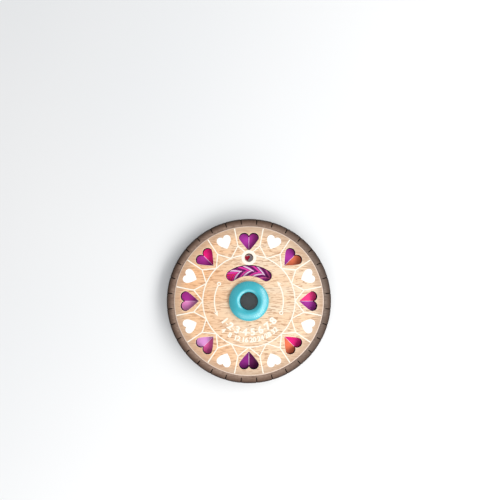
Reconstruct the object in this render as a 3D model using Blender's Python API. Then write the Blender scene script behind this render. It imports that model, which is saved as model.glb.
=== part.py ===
"""A round wooden braiding dial, lying face up on its back.

Threads sit in the slots of the rim and the braid goes down through the hub.
The hub turns a printed disc under the face, which shows through the windows.
The origin is the middle of the back, +Z runs up the hub and +Y points to the
side with the arc window. Lengths are in metres.
"""

import math

import bmesh
import bpy
from mathutils import Matrix, Vector

MM = 0.001

# Clearance between neighbouring pieces
FIT_GAP = 0.3 * MM

# Rim
RIM_WIDTH = 6.0 * MM
RIM_FLAT = 0.7 * MM
RIM_ROUND_HEIGHT = 4.6 * MM
RIM_BEVEL = 0.8 * MM
SLOT_COUNT = 32
SLOT_DEPTH = 3.6 * MM
SLOT_WIDTH = 0.6 * MM
SLOT_END_WOOD = 0.7 * MM
SLOT_FOOT = 3.4 * MM
SHELF_WIDTH = 2.7 * MM

# Layers, from the back up
BACK_THICKNESS = 3.4 * MM
FELT_THICKNESS = 1.2 * MM
FELT_GROOVE_DEPTH = 0.5 * MM
CARRIER_THICKNESS = 2.5 * MM
CARD_THICKNESS = 0.4 * MM
FACE_THICKNESS = 3.2 * MM
FACE_PROUD = 0.5 * MM
FACE_BEVEL = 0.35 * MM

# Windows in the face
WINDOW_COUNT = 8
HEART_WIDTH = 12.9 * MM
HEART_LENGTH = 11.8 * MM
LOBE_SHARE = 0.262
HEART_TIP_ANGLE = math.radians(43.0)
ARC_WINDOW_WIDTH = 7.15 * MM
ARC_WINDOW_HALF_ANGLE = math.radians(34.5)
ROUND_WINDOW_RADIUS = 2.7 * MM

# Wood between neighbours on the face, from the hub out
HUB_TO_ARC_WINDOW = 3.425 * MM
ARC_TO_ROUND_WINDOW = 1.925 * MM
ROUND_WINDOW_TO_HEART = 1.6 * MM
HEART_TO_POCKET_WALL = 1.2 * MM

# Hub
BORE_RADIUS = 5.75 * MM
SLEEVE_WALL = 1.0 * MM
SKIRT_WALL = 1.2 * MM
HUB_OVERHANG = 0.95 * MM
HUB_EDGE_HEIGHT = 1.0 * MM
HUB_DOME_HEIGHT = 2.4 * MM
HUB_LIP_DEPTH = 1.2 * MM
HUB_CREST_WIDTH = 2.1 * MM
HUB_CREST_DROP = 1.1 * MM
HUB_SLOPE_POWER = 1.3
KEY_COUNT = 4
KEY_HEIGHT = 1.2 * MM
KEY_WIDTH = 3.2 * MM
REAR_FLANGE_WIDTH = 5.6 * MM
REAR_FLANGE_THICKNESS = 0.9 * MM
REAR_FLANGE_RECESS = 0.5 * MM
REAR_FLANGE_BEVEL = 0.25 * MM

# Washers and friction ring
SLIP_WASHER_WIDTH = 1.8 * MM
SLIP_WASHER_THICKNESS = 0.4 * MM
WAVE_WASHER_WIDTH = 3.2 * MM
WAVE_WASHER_THICKNESS = 0.3 * MM
WAVE_WASHER_RISE = 0.3 * MM
WAVE_COUNT = 3
FELT_WIDTH = 8.0 * MM
FELT_TO_CARRIER_EDGE = 11.0 * MM
CARD_BORE_MARGIN = 2.2 * MM

# Back screws
SCREW_COUNT = 8
SCREW_SHANK_RADIUS = 0.8 * MM
SCREW_HEAD_RADIUS = 1.6 * MM
SCREW_HEAD_LAND = 0.2 * MM
SCREW_SINK = 0.2 * MM
SCREW_EDGE_WOOD = 0.4 * MM
SCREW_TOP_WOOD = 0.5 * MM
SCREW_TIP_LENGTH = 1.2 * MM
SCREW_CROSS_WIDTH = 0.45 * MM
SCREW_CROSS_REACH = 0.95 * MM
SCREW_CROSS_DEPTH = 0.5 * MM

# Facets of round shapes
DIAL_STEPS = 96
DISC_STEPS = 64
HUB_STEPS = 48
BORE_STEPS = 36
SCREW_STEPS = 12
DOME_STEPS = 8
CREST_STEPS = 4
ROUND_STEPS = 5
LOBE_STEPS = 7
HEART_SIDE_STEPS = 4
ARC_STEPS = 14
WINDOW_END_STEPS = 6
WAVE_STEPS = 36
CUT_OVERSHOOT = 2.0 * MM
SMOOTH_ANGLE = math.radians(32.0)

# Radii that follow, from the bore out
sleeve_radius = BORE_RADIUS + SLEEVE_WALL
skirt_inner_radius = sleeve_radius + FIT_GAP
skirt_radius = skirt_inner_radius + SKIRT_WALL
skirt_bore_radius = skirt_radius + FIT_GAP
key_radius = skirt_radius + KEY_HEIGHT
face_bore_radius = key_radius + FIT_GAP
slip_washer_radius = face_bore_radius + SLIP_WASHER_WIDTH
slip_recess_radius = slip_washer_radius + FIT_GAP
hub_flange_radius = slip_recess_radius + HUB_OVERHANG
card_bore_radius = face_bore_radius + CARD_BORE_MARGIN
wave_washer_radius = skirt_bore_radius + WAVE_WASHER_WIDTH
rear_flange_radius = sleeve_radius + REAR_FLANGE_WIDTH
rear_recess_radius = max(rear_flange_radius, wave_washer_radius) + FIT_GAP
arc_window_inner_radius = hub_flange_radius + HUB_TO_ARC_WINDOW
arc_window_outer_radius = arc_window_inner_radius + ARC_WINDOW_WIDTH
round_window_centre = arc_window_outer_radius + ARC_TO_ROUND_WINDOW + ROUND_WINDOW_RADIUS
heart_tip_radius = round_window_centre + ROUND_WINDOW_RADIUS + ROUND_WINDOW_TO_HEART
pocket_radius = heart_tip_radius + HEART_LENGTH + HEART_TO_POCKET_WALL
face_radius = pocket_radius + SHELF_WIDTH
face_seat_radius = face_radius + FIT_GAP
dial_radius = face_radius + RIM_WIDTH
slot_end_radius = dial_radius - SLOT_DEPTH
back_seat_radius = slot_end_radius - SLOT_END_WOOD
back_radius = back_seat_radius - FIT_GAP
carrier_radius = pocket_radius - FIT_GAP
felt_outer_radius = carrier_radius - FELT_TO_CARRIER_EDGE
felt_inner_radius = felt_outer_radius - FELT_WIDTH
screw_circle_radius = back_radius - SCREW_EDGE_WOOD - SCREW_HEAD_RADIUS - FIT_GAP

# Heights that follow
felt_groove_floor = BACK_THICKNESS - FELT_GROOVE_DEPTH
felt_bottom = felt_groove_floor + FIT_GAP
felt_top = felt_bottom + FELT_THICKNESS
carrier_bottom = felt_top + FIT_GAP
carrier_top = carrier_bottom + CARRIER_THICKNESS
card_bottom = carrier_top + FIT_GAP
card_top = card_bottom + CARD_THICKNESS
face_bottom = card_top + FIT_GAP
face_top = face_bottom + FACE_THICKNESS
shelf_top = face_bottom - FIT_GAP
rim_top = face_top - FACE_PROUD
slip_recess_floor = face_top - FIT_GAP - SLIP_WASHER_THICKNESS
slip_bottom = slip_recess_floor + FIT_GAP
slip_top = slip_bottom + SLIP_WASHER_THICKNESS
hub_flange_bottom = slip_top + FIT_GAP
rear_flange_bottom = REAR_FLANGE_RECESS
rear_flange_top = rear_flange_bottom + REAR_FLANGE_THICKNESS
skirt_bottom = rear_flange_top + FIT_GAP
wave_bottom = rear_flange_top + FIT_GAP
wave_top = wave_bottom + WAVE_WASHER_THICKNESS + WAVE_WASHER_RISE
rear_recess_ceiling = wave_top + FIT_GAP
lip_bottom = hub_flange_bottom + HUB_EDGE_HEIGHT - HUB_LIP_DEPTH
sleeve_top = lip_bottom - FIT_GAP
back_rim_floor = BACK_THICKNESS + FIT_GAP
screw_top = shelf_top - SCREW_TOP_WOOD - FIT_GAP


def remove_everything():
    for item in list(bpy.data.objects):
        bpy.data.objects.remove(item, do_unlink=True)


def make_material(name, colour, roughness, metallic=0.0):
    """A Principled material with one colour, given as sRGB bytes."""
    material = bpy.data.materials.new(name)
    material.use_nodes = True
    shader = material.node_tree.nodes["Principled BSDF"]
    linear = [(channel / 255.0) ** 2.2 for channel in colour]
    shader.inputs["Base Color"].default_value = (*linear, 1.0)
    shader.inputs["Roughness"].default_value = roughness
    shader.inputs["Metallic"].default_value = metallic
    return material


def add_object(name, bm, material=None):
    """Turns a bmesh into a smooth-shaded object that keeps its crisp edges."""
    bmesh.ops.recalc_face_normals(bm, faces=bm.faces)
    mesh = bpy.data.meshes.new(name)
    bm.to_mesh(mesh)
    bm.free()
    mesh.shade_smooth()
    mesh.set_sharp_from_angle(angle=SMOOTH_ANGLE)
    item = bpy.data.objects.new(name, mesh)
    bpy.context.scene.collection.objects.link(item)
    if material:
        mesh.materials.append(material)
    return item


def turned(name, profile, steps, material=None):
    """Turns a closed profile of (radius, height) points round the hub axis."""
    bm = bmesh.new()
    corners = [bm.verts.new((radius, 0.0, height)) for radius, height in profile]
    for first, second in zip(corners, corners[1:] + corners[:1]):
        bm.edges.new((first, second))
    bmesh.ops.spin(
        bm,
        geom=bm.verts[:] + bm.edges[:],
        axis=(0.0, 0.0, 1.0),
        cent=(0.0, 0.0, 0.0),
        angle=2.0 * math.pi,
        steps=steps,
        use_merge=True,
    )
    bmesh.ops.remove_doubles(bm, verts=bm.verts, dist=0.001 * MM)
    return add_object(name, bm, material)


def ring_profile(inner, outer, bottom, top):
    """The four corners of a flat ring's section."""
    return [(inner, bottom), (outer, bottom), (outer, top), (inner, top)]


def prism(name, outline, bottom, top, material=None):
    """Extrudes a flat outline straight up."""
    bm = bmesh.new()
    corners = [bm.verts.new((x, y, bottom)) for x, y in outline]
    floor = bm.faces.new(corners)
    walls = bmesh.ops.extrude_face_region(bm, geom=[floor])
    risen = [part for part in walls["geom"] if isinstance(part, bmesh.types.BMVert)]
    bmesh.ops.translate(bm, verts=risen, vec=(0.0, 0.0, top - bottom))
    return add_object(name, bm, material)


def round_outline(centre, radius, steps, start=0.0, end=2.0 * math.pi, closed=True):
    """Points along a circle, or along an arc of it with both ends."""
    count = steps if closed else steps + 1
    points = []
    for step in range(count):
        angle = start + (end - start) * step / steps
        points.append((centre[0] + radius * math.cos(angle), centre[1] + radius * math.sin(angle)))
    return points


def heart_outline(width, length):
    """A heart with its tip at the origin and its lobes towards +Y."""
    lobe = LOBE_SHARE * width
    centre = Vector((width / 2.0 - lobe, length - lobe))
    notch_angle = math.pi - math.acos(centre.x / lobe)
    right = [centre + lobe * Vector((math.cos(angle), math.sin(angle)))
             for angle in (notch_angle * step / LOBE_STEPS for step in range(LOBE_STEPS + 1))]
    start = right[0]
    control = Vector((start.x, start.x / math.tan(HEART_TIP_ANGLE)))
    side = []
    for step in range(1, HEART_SIDE_STEPS):
        share = step / HEART_SIDE_STEPS
        side.append((1.0 - share) ** 2 * start + 2.0 * share * (1.0 - share) * control)
    right = [Vector((0.0, 0.0))] + side[::-1] + right
    left = [Vector((-point.x, point.y)) for point in right[-2:0:-1]]
    return [(point.x, point.y) for point in right + left]


def arc_window_outline():
    """A curved slot with round ends, centred on +Y."""
    half_width = ARC_WINDOW_WIDTH / 2.0
    middle = arc_window_inner_radius + half_width
    north = math.pi / 2.0
    first = north - ARC_WINDOW_HALF_ANGLE
    last = north + ARC_WINDOW_HALF_ANGLE
    outer = round_outline((0.0, 0.0), arc_window_outer_radius, ARC_STEPS, first, last, False)
    inner = round_outline((0.0, 0.0), arc_window_inner_radius, ARC_STEPS, last, first, False)
    left_end = (middle * math.cos(last), middle * math.sin(last))
    right_end = (middle * math.cos(first), middle * math.sin(first))
    left_cap = round_outline(left_end, half_width, WINDOW_END_STEPS, last, last + math.pi, False)
    right_cap = round_outline(
        right_end, half_width, WINDOW_END_STEPS, first + math.pi, first + 2.0 * math.pi, False
    )
    return outer + left_cap[1:-1] + inner + right_cap[1:-1]


def turned_about_hub(points, angle):
    turn = Matrix.Rotation(angle, 2)
    return [tuple(turn @ Vector(point)) for point in points]


def hide_cutter(item):
    item.hide_render = True
    item.display_type = "WIRE"


def cut(item, cutter):
    """Takes a cutter's shape out of an object with an exact Boolean."""
    hide_cutter(cutter)
    modifier = item.modifiers.new(cutter.name, "BOOLEAN")
    modifier.operation = "DIFFERENCE"
    modifier.solver = "EXACT"
    modifier.object = cutter


def joined(name, pieces):
    """Puts loose, separate shapes into one cutter."""
    bm = bmesh.new()
    for piece in pieces:
        bm.from_mesh(piece.data)
        mesh = piece.data
        bpy.data.objects.remove(piece)
        bpy.data.meshes.remove(mesh)
    return add_object(name, bm)


def make_slotted_wheel(material):
    """The rim ring: a rounded shoulder, thread slots open above, and a seat on each side."""
    round_width = dial_radius - face_seat_radius - RIM_FLAT
    shoulder = []
    for step in range(ROUND_STEPS + 1):
        angle = math.pi / 2.0 * step / ROUND_STEPS
        radius = dial_radius - round_width + round_width * math.sin(angle)
        height = rim_top - RIM_ROUND_HEIGHT + RIM_ROUND_HEIGHT * math.cos(angle)
        shoulder.append((radius, height))
    profile = [(face_seat_radius, rim_top)] + shoulder
    profile += [(dial_radius, RIM_BEVEL), (dial_radius - RIM_BEVEL, 0.0)]
    profile += [(back_seat_radius, 0.0), (back_seat_radius, back_rim_floor)]
    profile += [(pocket_radius, back_rim_floor), (pocket_radius, shelf_top)]
    profile += [(face_seat_radius, shelf_top)]
    wheel = turned("slotted_wheel", profile, DIAL_STEPS, material)

    slots = []
    outer = dial_radius + CUT_OVERSHOOT
    half = SLOT_WIDTH / 2.0
    outline = [(slot_end_radius, -half), (outer, -half), (outer, half), (slot_end_radius, half)]
    for index in range(SLOT_COUNT):
        angle = 2.0 * math.pi * (index + 0.5) / SLOT_COUNT
        points = turned_about_hub(outline, angle)
        slots.append(prism(f"slot_{index}", points, SLOT_FOOT, face_top + CUT_OVERSHOOT))
    cut(wheel, joined("slot_cutter", slots))

    holes = []
    for index in range(SCREW_COUNT):
        centre = screw_place(index)
        outline = round_outline(centre, SCREW_SHANK_RADIUS + FIT_GAP, SCREW_STEPS)
        holes.append(prism(f"hole_{index}", outline, BACK_THICKNESS, screw_top + FIT_GAP))
    cut(wheel, joined("wheel_hole_cutter", holes))
    return wheel


def make_face_plate(material):
    """The top disc with its windows, its hub bore and the recess for the slip washer."""
    bevelled = [
        (face_bore_radius, face_bottom),
        (face_radius, face_bottom),
        (face_radius, face_top - FACE_BEVEL),
        (face_radius - FACE_BEVEL, face_top),
        (slip_recess_radius, face_top),
        (slip_recess_radius, slip_recess_floor),
        (face_bore_radius, slip_recess_floor),
    ]
    face = turned("face_plate", bevelled, DIAL_STEPS, material)
    bottom = face_bottom - CUT_OVERSHOOT
    top = face_top + CUT_OVERSHOOT
    windows = [
        prism("arc_window", arc_window_outline(), bottom, top),
        prism(
            "round_window",
            round_outline((0.0, round_window_centre), ROUND_WINDOW_RADIUS, SCREW_STEPS),
            bottom,
            top,
        ),
    ]
    heart = [(x, y + heart_tip_radius) for x, y in heart_outline(HEART_WIDTH, HEART_LENGTH)]
    for index in range(WINDOW_COUNT):
        points = turned_about_hub(heart, 2.0 * math.pi * index / WINDOW_COUNT)
        windows.append(prism(f"heart_window_{index}", points, bottom, top))
    cut(face, joined("window_cutter", windows))
    return face


def make_back_plate(material):
    """The disc that closes the back, with a felt groove and a recess for the rear flange."""
    profile = [
        (rear_recess_radius, 0.0),
        (back_radius, 0.0),
        (back_radius, BACK_THICKNESS),
        (felt_outer_radius + FIT_GAP, BACK_THICKNESS),
        (felt_outer_radius + FIT_GAP, felt_groove_floor),
        (felt_inner_radius - FIT_GAP, felt_groove_floor),
        (felt_inner_radius - FIT_GAP, BACK_THICKNESS),
        (skirt_bore_radius, BACK_THICKNESS),
        (skirt_bore_radius, rear_recess_ceiling),
        (rear_recess_radius, rear_recess_ceiling),
    ]
    back = turned("back_plate", profile, DISC_STEPS, material)
    holes = []
    for index in range(SCREW_COUNT):
        holes.append(screw_body(f"countersink_{index}", FIT_GAP, -CUT_OVERSHOOT))
        holes[-1].data.transform(Matrix.Translation((*screw_place(index), 0.0)))
    cut(back, joined("back_hole_cutter", holes))
    return back


def make_felt_ring(material):
    """The ring in the back plate's groove that keeps the carrier from turning freely."""
    profile = ring_profile(felt_inner_radius, felt_outer_radius, felt_bottom, felt_top)
    return turned("felt_ring", profile, DISC_STEPS, material)


def make_carrier_disc(material):
    """The stiff disc that carries the card, with notches for the hub's keys."""
    profile = ring_profile(skirt_bore_radius, carrier_radius, carrier_bottom, carrier_top)
    carrier = turned("carrier_disc", profile, DISC_STEPS, material)
    notches = []
    half = KEY_WIDTH / 2.0 + FIT_GAP
    inner = skirt_radius
    outer = key_radius + FIT_GAP
    outline = [(inner, -half), (outer, -half), (outer, half), (inner, half)]
    for index in range(KEY_COUNT):
        points = turned_about_hub(outline, 2.0 * math.pi * index / KEY_COUNT)
        notches.append(
            prism(f"notch_{index}", points, carrier_bottom - CUT_OVERSHOOT, carrier_top + CUT_OVERSHOOT)
        )
    cut(carrier, joined("notch_cutter", notches))
    return carrier


def make_pattern_card(material):
    """The printed card on the carrier."""
    profile = ring_profile(card_bore_radius, carrier_radius, card_bottom, card_top)
    return turned("pattern_card", profile, DISC_STEPS, material)


def collar_dome(base):
    """The collar's outline from its edge up a long slope, over the crest and down to the bore."""
    crest = BORE_RADIUS + HUB_CREST_WIDTH
    crest_top = base + HUB_DOME_HEIGHT
    points = []
    for step in range(DOME_STEPS + 1):
        angle = math.pi / 2.0 * step / DOME_STEPS
        outward = math.cos(angle) ** (2.0 / HUB_SLOPE_POWER)
        upward = math.sin(angle) ** (2.0 / HUB_SLOPE_POWER)
        radius = crest + (hub_flange_radius - crest) * outward
        points.append((radius, base + HUB_DOME_HEIGHT * upward))
    for step in range(1, CREST_STEPS + 1):
        angle = math.pi / 2.0 * step / CREST_STEPS
        inward = math.sin(angle) ** (2.0 / HUB_SLOPE_POWER)
        upward = math.cos(angle) ** (2.0 / HUB_SLOPE_POWER)
        points.append((crest - HUB_CREST_WIDTH * inward, crest_top - HUB_CREST_DROP * (1.0 - upward)))
    return points


def make_hub_collar(material):
    """The domed collar in front, its skirt down the bore and the keys on the skirt."""
    profile = [(skirt_radius, hub_flange_bottom), (hub_flange_radius, hub_flange_bottom)]
    profile += collar_dome(hub_flange_bottom + HUB_EDGE_HEIGHT)
    profile += [(BORE_RADIUS, lip_bottom), (skirt_inner_radius, lip_bottom)]
    profile += [(skirt_inner_radius, skirt_bottom), (skirt_radius, skirt_bottom)]
    collar = turned("hub_collar", profile, HUB_STEPS, material)

    root = (skirt_inner_radius + skirt_radius) / 2.0
    buried_top = hub_flange_bottom + HUB_EDGE_HEIGHT / 2.0
    half = KEY_WIDTH / 2.0
    outline = [(root, -half), (key_radius, -half), (key_radius, half), (root, half)]
    keys = []
    for index in range(KEY_COUNT):
        points = turned_about_hub(outline, 2.0 * math.pi * index / KEY_COUNT)
        keys.append(prism(f"key_{index}", points, carrier_bottom, buried_top))
    block = joined("key_block", keys)
    hide_cutter(block)
    union = collar.modifiers.new("keys", "BOOLEAN")
    union.operation = "UNION"
    union.solver = "EXACT"
    union.object = block
    return collar


def make_hub_sleeve(material):
    """The tube that lines the bore and holds the collar with its flange at the back."""
    profile = [
        (BORE_RADIUS, rear_flange_bottom),
        (rear_flange_radius - REAR_FLANGE_BEVEL, rear_flange_bottom),
        (rear_flange_radius, rear_flange_bottom + REAR_FLANGE_BEVEL),
        (rear_flange_radius, rear_flange_top),
        (sleeve_radius, rear_flange_top),
        (sleeve_radius, sleeve_top),
        (BORE_RADIUS, sleeve_top),
    ]
    return turned("hub_sleeve", profile, HUB_STEPS, material)


def make_slip_washer(material):
    """The thin washer under the collar's flange."""
    profile = ring_profile(face_bore_radius, slip_washer_radius, slip_bottom, slip_top)
    return turned("slip_washer", profile, BORE_STEPS, material)


def make_wave_washer(material):
    """The wavy spring washer that takes up play between rear flange and back plate."""
    profile = ring_profile(
        skirt_bore_radius, wave_washer_radius, wave_bottom, wave_bottom + WAVE_WASHER_THICKNESS
    )
    washer = turned("wave_washer", profile, WAVE_STEPS, material)
    for vertex in washer.data.vertices:
        angle = math.atan2(vertex.co.y, vertex.co.x)
        vertex.co.z += WAVE_WASHER_RISE * (0.5 + 0.5 * math.cos(WAVE_COUNT * angle))
    return washer


def screw_place(index):
    """The centre of a screw, halfway between two windows."""
    angle = 2.0 * math.pi * (index + 0.5) / SCREW_COUNT + math.pi / 2.0
    return (screw_circle_radius * math.cos(angle), screw_circle_radius * math.sin(angle))


def screw_body(name, extra, bottom, material=None):
    """A countersunk screw on the Z axis, or its hole when given extra width."""
    head = SCREW_HEAD_RADIUS + extra
    shank = SCREW_SHANK_RADIUS + extra
    cone_bottom = SCREW_SINK + SCREW_HEAD_LAND
    cone_top = cone_bottom + SCREW_HEAD_RADIUS - SCREW_SHANK_RADIUS
    bm = bmesh.new()
    sections = [(head, bottom), (head, cone_bottom), (shank, cone_top)]
    if extra > 0.0:
        sections += [(shank, BACK_THICKNESS + CUT_OVERSHOOT)]
    else:
        sections += [(shank, screw_top - SCREW_TIP_LENGTH), (shank / 4.0, screw_top)]
    rings = []
    for radius, height in sections:
        outline = round_outline((0.0, 0.0), radius, SCREW_STEPS)
        rings.append([bm.verts.new((x, y, height)) for x, y in outline])
    bm.faces.new(rings[0])
    bm.faces.new(rings[-1])
    for lower, upper in zip(rings, rings[1:]):
        for step in range(SCREW_STEPS):
            after = (step + 1) % SCREW_STEPS
            bm.faces.new((lower[step], lower[after], upper[after], upper[step]))
    return add_object(name, bm, material)


def make_screws(material):
    """Countersunk wood screws that hold the back plate to the rim, each with a cross recess."""
    reach = SCREW_CROSS_REACH
    half = SCREW_CROSS_WIDTH / 2.0
    cross = [
        (reach, -half), (reach, half), (half, half), (half, reach), (-half, reach), (-half, half),
        (-reach, half), (-reach, -half), (-half, -half), (-half, -reach), (half, -reach), (half, -half),
    ]
    for index in range(SCREW_COUNT):
        place = Vector((*screw_place(index), 0.0))
        screw = screw_body(f"plate_screw_{index + 1}", 0.0, SCREW_SINK, material)
        recess = prism(
            f"cross_cutter_{index + 1}", cross, SCREW_SINK - CUT_OVERSHOOT, SCREW_SINK + SCREW_CROSS_DEPTH
        )
        recess.parent = screw
        cut(screw, recess)
        screw.location = place


def main():
    remove_everything()
    rim_wood = make_material("rim_wood", (150, 124, 106), 0.55)
    face_wood = make_material("face_wood", (240, 210, 172), 0.5)
    back_wood = make_material("back_wood", (232, 200, 160), 0.55)
    inner_ply = make_material("inner_ply", (214, 180, 138), 0.7)
    card_print = make_material("card_print", (190, 70, 160), 0.5)
    hub_plastic = make_material("hub_plastic", (60, 190, 205), 0.3)
    sleeve_plastic = make_material("sleeve_plastic", (58, 46, 40), 0.5)
    felt = make_material("felt", (88, 88, 92), 0.95)
    nylon = make_material("nylon", (236, 236, 230), 0.4)
    spring_steel = make_material("spring_steel", (190, 192, 196), 0.3, 1.0)
    brass = make_material("brass", (196, 160, 84), 0.35, 1.0)

    make_slotted_wheel(rim_wood)
    make_face_plate(face_wood)
    make_back_plate(back_wood)
    make_felt_ring(felt)
    make_slip_washer(nylon)
    make_wave_washer(spring_steel)
    make_screws(brass)

    axis = bpy.data.objects.new("pattern_axis", None)
    bpy.context.scene.collection.objects.link(axis)
    moving = [
        make_carrier_disc(inner_ply),
        make_pattern_card(card_print),
        make_hub_collar(hub_plastic),
        make_hub_sleeve(sleeve_plastic),
    ]
    for piece in moving:
        piece.parent = axis


main()
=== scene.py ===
# %% [markdown]
# # A wooden braiding dial, piece by piece
#
# The dial is a hand tool for braiding bracelets. Threads lie in the slots of a
# dark wooden rim, and the braid goes down through the hole in the hub. A pale
# face with heart windows covers a printed disc, which the teal hub turns.
#
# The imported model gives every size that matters. This lesson dresses it: each
# step makes one piece or one finish, says what it is on the real dial, and
# why it is made the way it is.

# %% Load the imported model
import math

import bpy
from mathutils import Matrix, Vector


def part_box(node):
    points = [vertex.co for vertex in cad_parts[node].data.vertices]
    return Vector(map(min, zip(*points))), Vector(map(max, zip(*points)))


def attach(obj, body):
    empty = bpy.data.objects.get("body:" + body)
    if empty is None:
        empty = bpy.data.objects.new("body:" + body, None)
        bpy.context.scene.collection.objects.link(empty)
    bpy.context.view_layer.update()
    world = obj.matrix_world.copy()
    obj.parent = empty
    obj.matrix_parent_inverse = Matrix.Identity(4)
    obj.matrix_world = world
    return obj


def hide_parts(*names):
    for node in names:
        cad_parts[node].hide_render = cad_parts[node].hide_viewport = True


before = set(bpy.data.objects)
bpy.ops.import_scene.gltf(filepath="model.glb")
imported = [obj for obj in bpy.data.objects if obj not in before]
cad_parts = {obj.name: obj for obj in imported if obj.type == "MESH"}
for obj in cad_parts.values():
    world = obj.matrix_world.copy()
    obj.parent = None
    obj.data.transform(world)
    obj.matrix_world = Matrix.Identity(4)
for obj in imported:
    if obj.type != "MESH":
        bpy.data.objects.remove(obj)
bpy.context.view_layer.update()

# %% [markdown]
# ## Sizes
#
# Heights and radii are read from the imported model's own boxes, so the new
# pieces land exactly where the plain ones are. A box doesn't show a window or
# a hole, so those sizes are written here, in millimetres times MM.

# %% Read the sizes
MM = 0.001

RIM_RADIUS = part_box("slotted_wheel")[1].x
RIM_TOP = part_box("slotted_wheel")[1].z
FACE_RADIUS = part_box("face_plate")[1].x
FACE_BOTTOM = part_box("face_plate")[0].z
FACE_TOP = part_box("face_plate")[1].z
BACK_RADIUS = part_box("back_plate")[1].x
BACK_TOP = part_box("back_plate")[1].z
CARD_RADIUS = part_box("pattern_card")[1].x
CARD_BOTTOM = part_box("pattern_card")[0].z
CARD_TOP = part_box("pattern_card")[1].z
HUB_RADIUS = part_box("hub_collar")[1].x
HUB_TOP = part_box("hub_collar")[1].z
SKIRT_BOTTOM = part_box("hub_collar")[0].z
SLEEVE_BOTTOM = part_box("hub_sleeve")[0].z
SLEEVE_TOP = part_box("hub_sleeve")[1].z
REAR_FLANGE_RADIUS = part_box("hub_sleeve")[1].x
SCREW_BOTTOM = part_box("plate_screw_1")[0].z
SCREW_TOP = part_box("plate_screw_1")[1].z

GAP = 0.3 * MM
BORE_RADIUS = 5.75 * MM
SLOT_COUNT = 32
SLOT_DEPTH = 4.4 * MM
SLOT_WIDTH = 0.6 * MM
SLOT_FOOT = 6.0 * MM
WINDOW_COUNT = 8
HEART_WIDTH = 12.9 * MM
HEART_LENGTH = 11.8 * MM
HEART_TIP_RADIUS = 32.3 * MM
ARC_WINDOW_RADIUS = 19.8 * MM
ARC_WINDOW_WIDTH = 7.15 * MM
ARC_WINDOW_HALF_ANGLE = math.radians(34.5)
ROUND_WINDOW_CENTRE = 28.0 * MM
ROUND_WINDOW_RADIUS = 2.7 * MM
NORTH = math.pi / 2.0
print("face top, mm:", round(FACE_TOP / MM, 2), "card top, mm:", round(CARD_TOP / MM, 2))

# %% [markdown]
# ## Two habits for scripted modelling
#
# An operator acts on whatever is selected, and loading leaves every plain
# piece selected. So each step begins by selecting one object and nothing
# else. The second habit is to end each piece the same way: its place applied,
# its shading smoothed by angle, and its body and stand-in declared.

# %% Helpers: select one object, edit it, finish it
SMOOTH_ANGLE = math.radians(35.0)


def only(item):
    """Selects one object and makes it the active one."""
    bpy.ops.object.select_all(action="DESELECT")
    item.select_set(True)
    bpy.context.view_layer.objects.active = item


def apply_modifier(item, kind, **settings):
    """Adds a modifier with its settings and applies it at once."""
    modifier = item.modifiers.new(kind.title(), kind)
    for name, value in settings.items():
        setattr(modifier, name, value)
    only(item)
    bpy.ops.object.modifier_apply(modifier=modifier.name)


def finish_piece(item, name, body, material, stands_for=()):
    """Applies the place, smooths by angle, and declares what the piece is."""
    item.name = name
    item.data.name = name
    only(item)
    bpy.ops.object.transform_apply(location=True, rotation=True, scale=True)
    bpy.ops.object.shade_smooth_by_angle(angle=SMOOTH_ANGLE)
    if material:
        item.data.materials.clear()
        item.data.materials.append(material)
    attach(item, body)
    if stands_for:
        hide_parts(*stands_for)
    print(name, "-", len(item.data.polygons), "faces")

# %% [markdown]
# ## Drawing an outline by extruding a vertex
#
# Most pieces here are either turned or cut from sheet, so they begin as a
# flat outline. The scripted form of drawing by hand is to squeeze a small
# plane into one vertex, then extrude that vertex from corner to corner. A
# closed outline in the XZ plane can be spun into a ring; one in the XY plane
# can be filled and extruded upward like a cookie cutter.

# %% Helpers: draw, spin and extrude outlines
SEAM_MERGE = 0.001 * MM


def draw_outline(points, name="outline"):
    """Draws a closed outline through 3-D points and leaves it in edit mode, all selected."""
    corners = [Vector(point) for point in points]
    bpy.ops.object.select_all(action="DESELECT")
    bpy.ops.mesh.primitive_plane_add(size=MM, location=(0.0, 0.0, 0.0))
    item = bpy.context.active_object
    item.name = name
    bpy.ops.object.mode_set(mode="EDIT")
    bpy.ops.mesh.select_mode(type="VERT")
    bpy.ops.mesh.select_all(action="SELECT")
    bpy.ops.mesh.merge(type="CENTER")
    bpy.ops.transform.translate(value=corners[0])
    for before, after in zip(corners, corners[1:]):
        bpy.ops.mesh.extrude_vertices_move(TRANSFORM_OT_translate={"value": after - before})
    bpy.ops.object.mode_set(mode="OBJECT")
    ends = (0, len(item.data.vertices) - 1)
    for index, vertex in enumerate(item.data.vertices):
        vertex.select = index in ends
    bpy.ops.object.mode_set(mode="EDIT")
    bpy.ops.mesh.edge_face_add()
    bpy.ops.mesh.select_all(action="SELECT")
    return item


def turn_outline(points, steps, name="turned"):
    """Spins a closed (radius, height) outline round the hub axis into one closed ring."""
    item = draw_outline([(radius, 0.0, height) for radius, height in points], name)
    bpy.ops.mesh.spin(
        steps=steps, angle=2.0 * math.pi, center=(0.0, 0.0, 0.0), axis=(0.0, 0.0, 1.0),
    )
    bpy.ops.mesh.select_all(action="SELECT")
    bpy.ops.mesh.remove_doubles(threshold=SEAM_MERGE)
    bpy.ops.mesh.normals_make_consistent(inside=False)
    bpy.ops.object.mode_set(mode="OBJECT")
    return item


def raise_outline(points, bottom, top, name="cut"):
    """Fills a flat (x, y) outline and extrudes it up into a solid."""
    item = draw_outline([(x, y, bottom) for x, y in points], name)
    bpy.ops.mesh.edge_face_add()
    bpy.ops.mesh.extrude_region_move(TRANSFORM_OT_translate={"value": (0.0, 0.0, top - bottom)})
    bpy.ops.mesh.select_all(action="SELECT")
    bpy.ops.mesh.normals_make_consistent(inside=False)
    bpy.ops.object.mode_set(mode="OBJECT")
    return item

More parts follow.
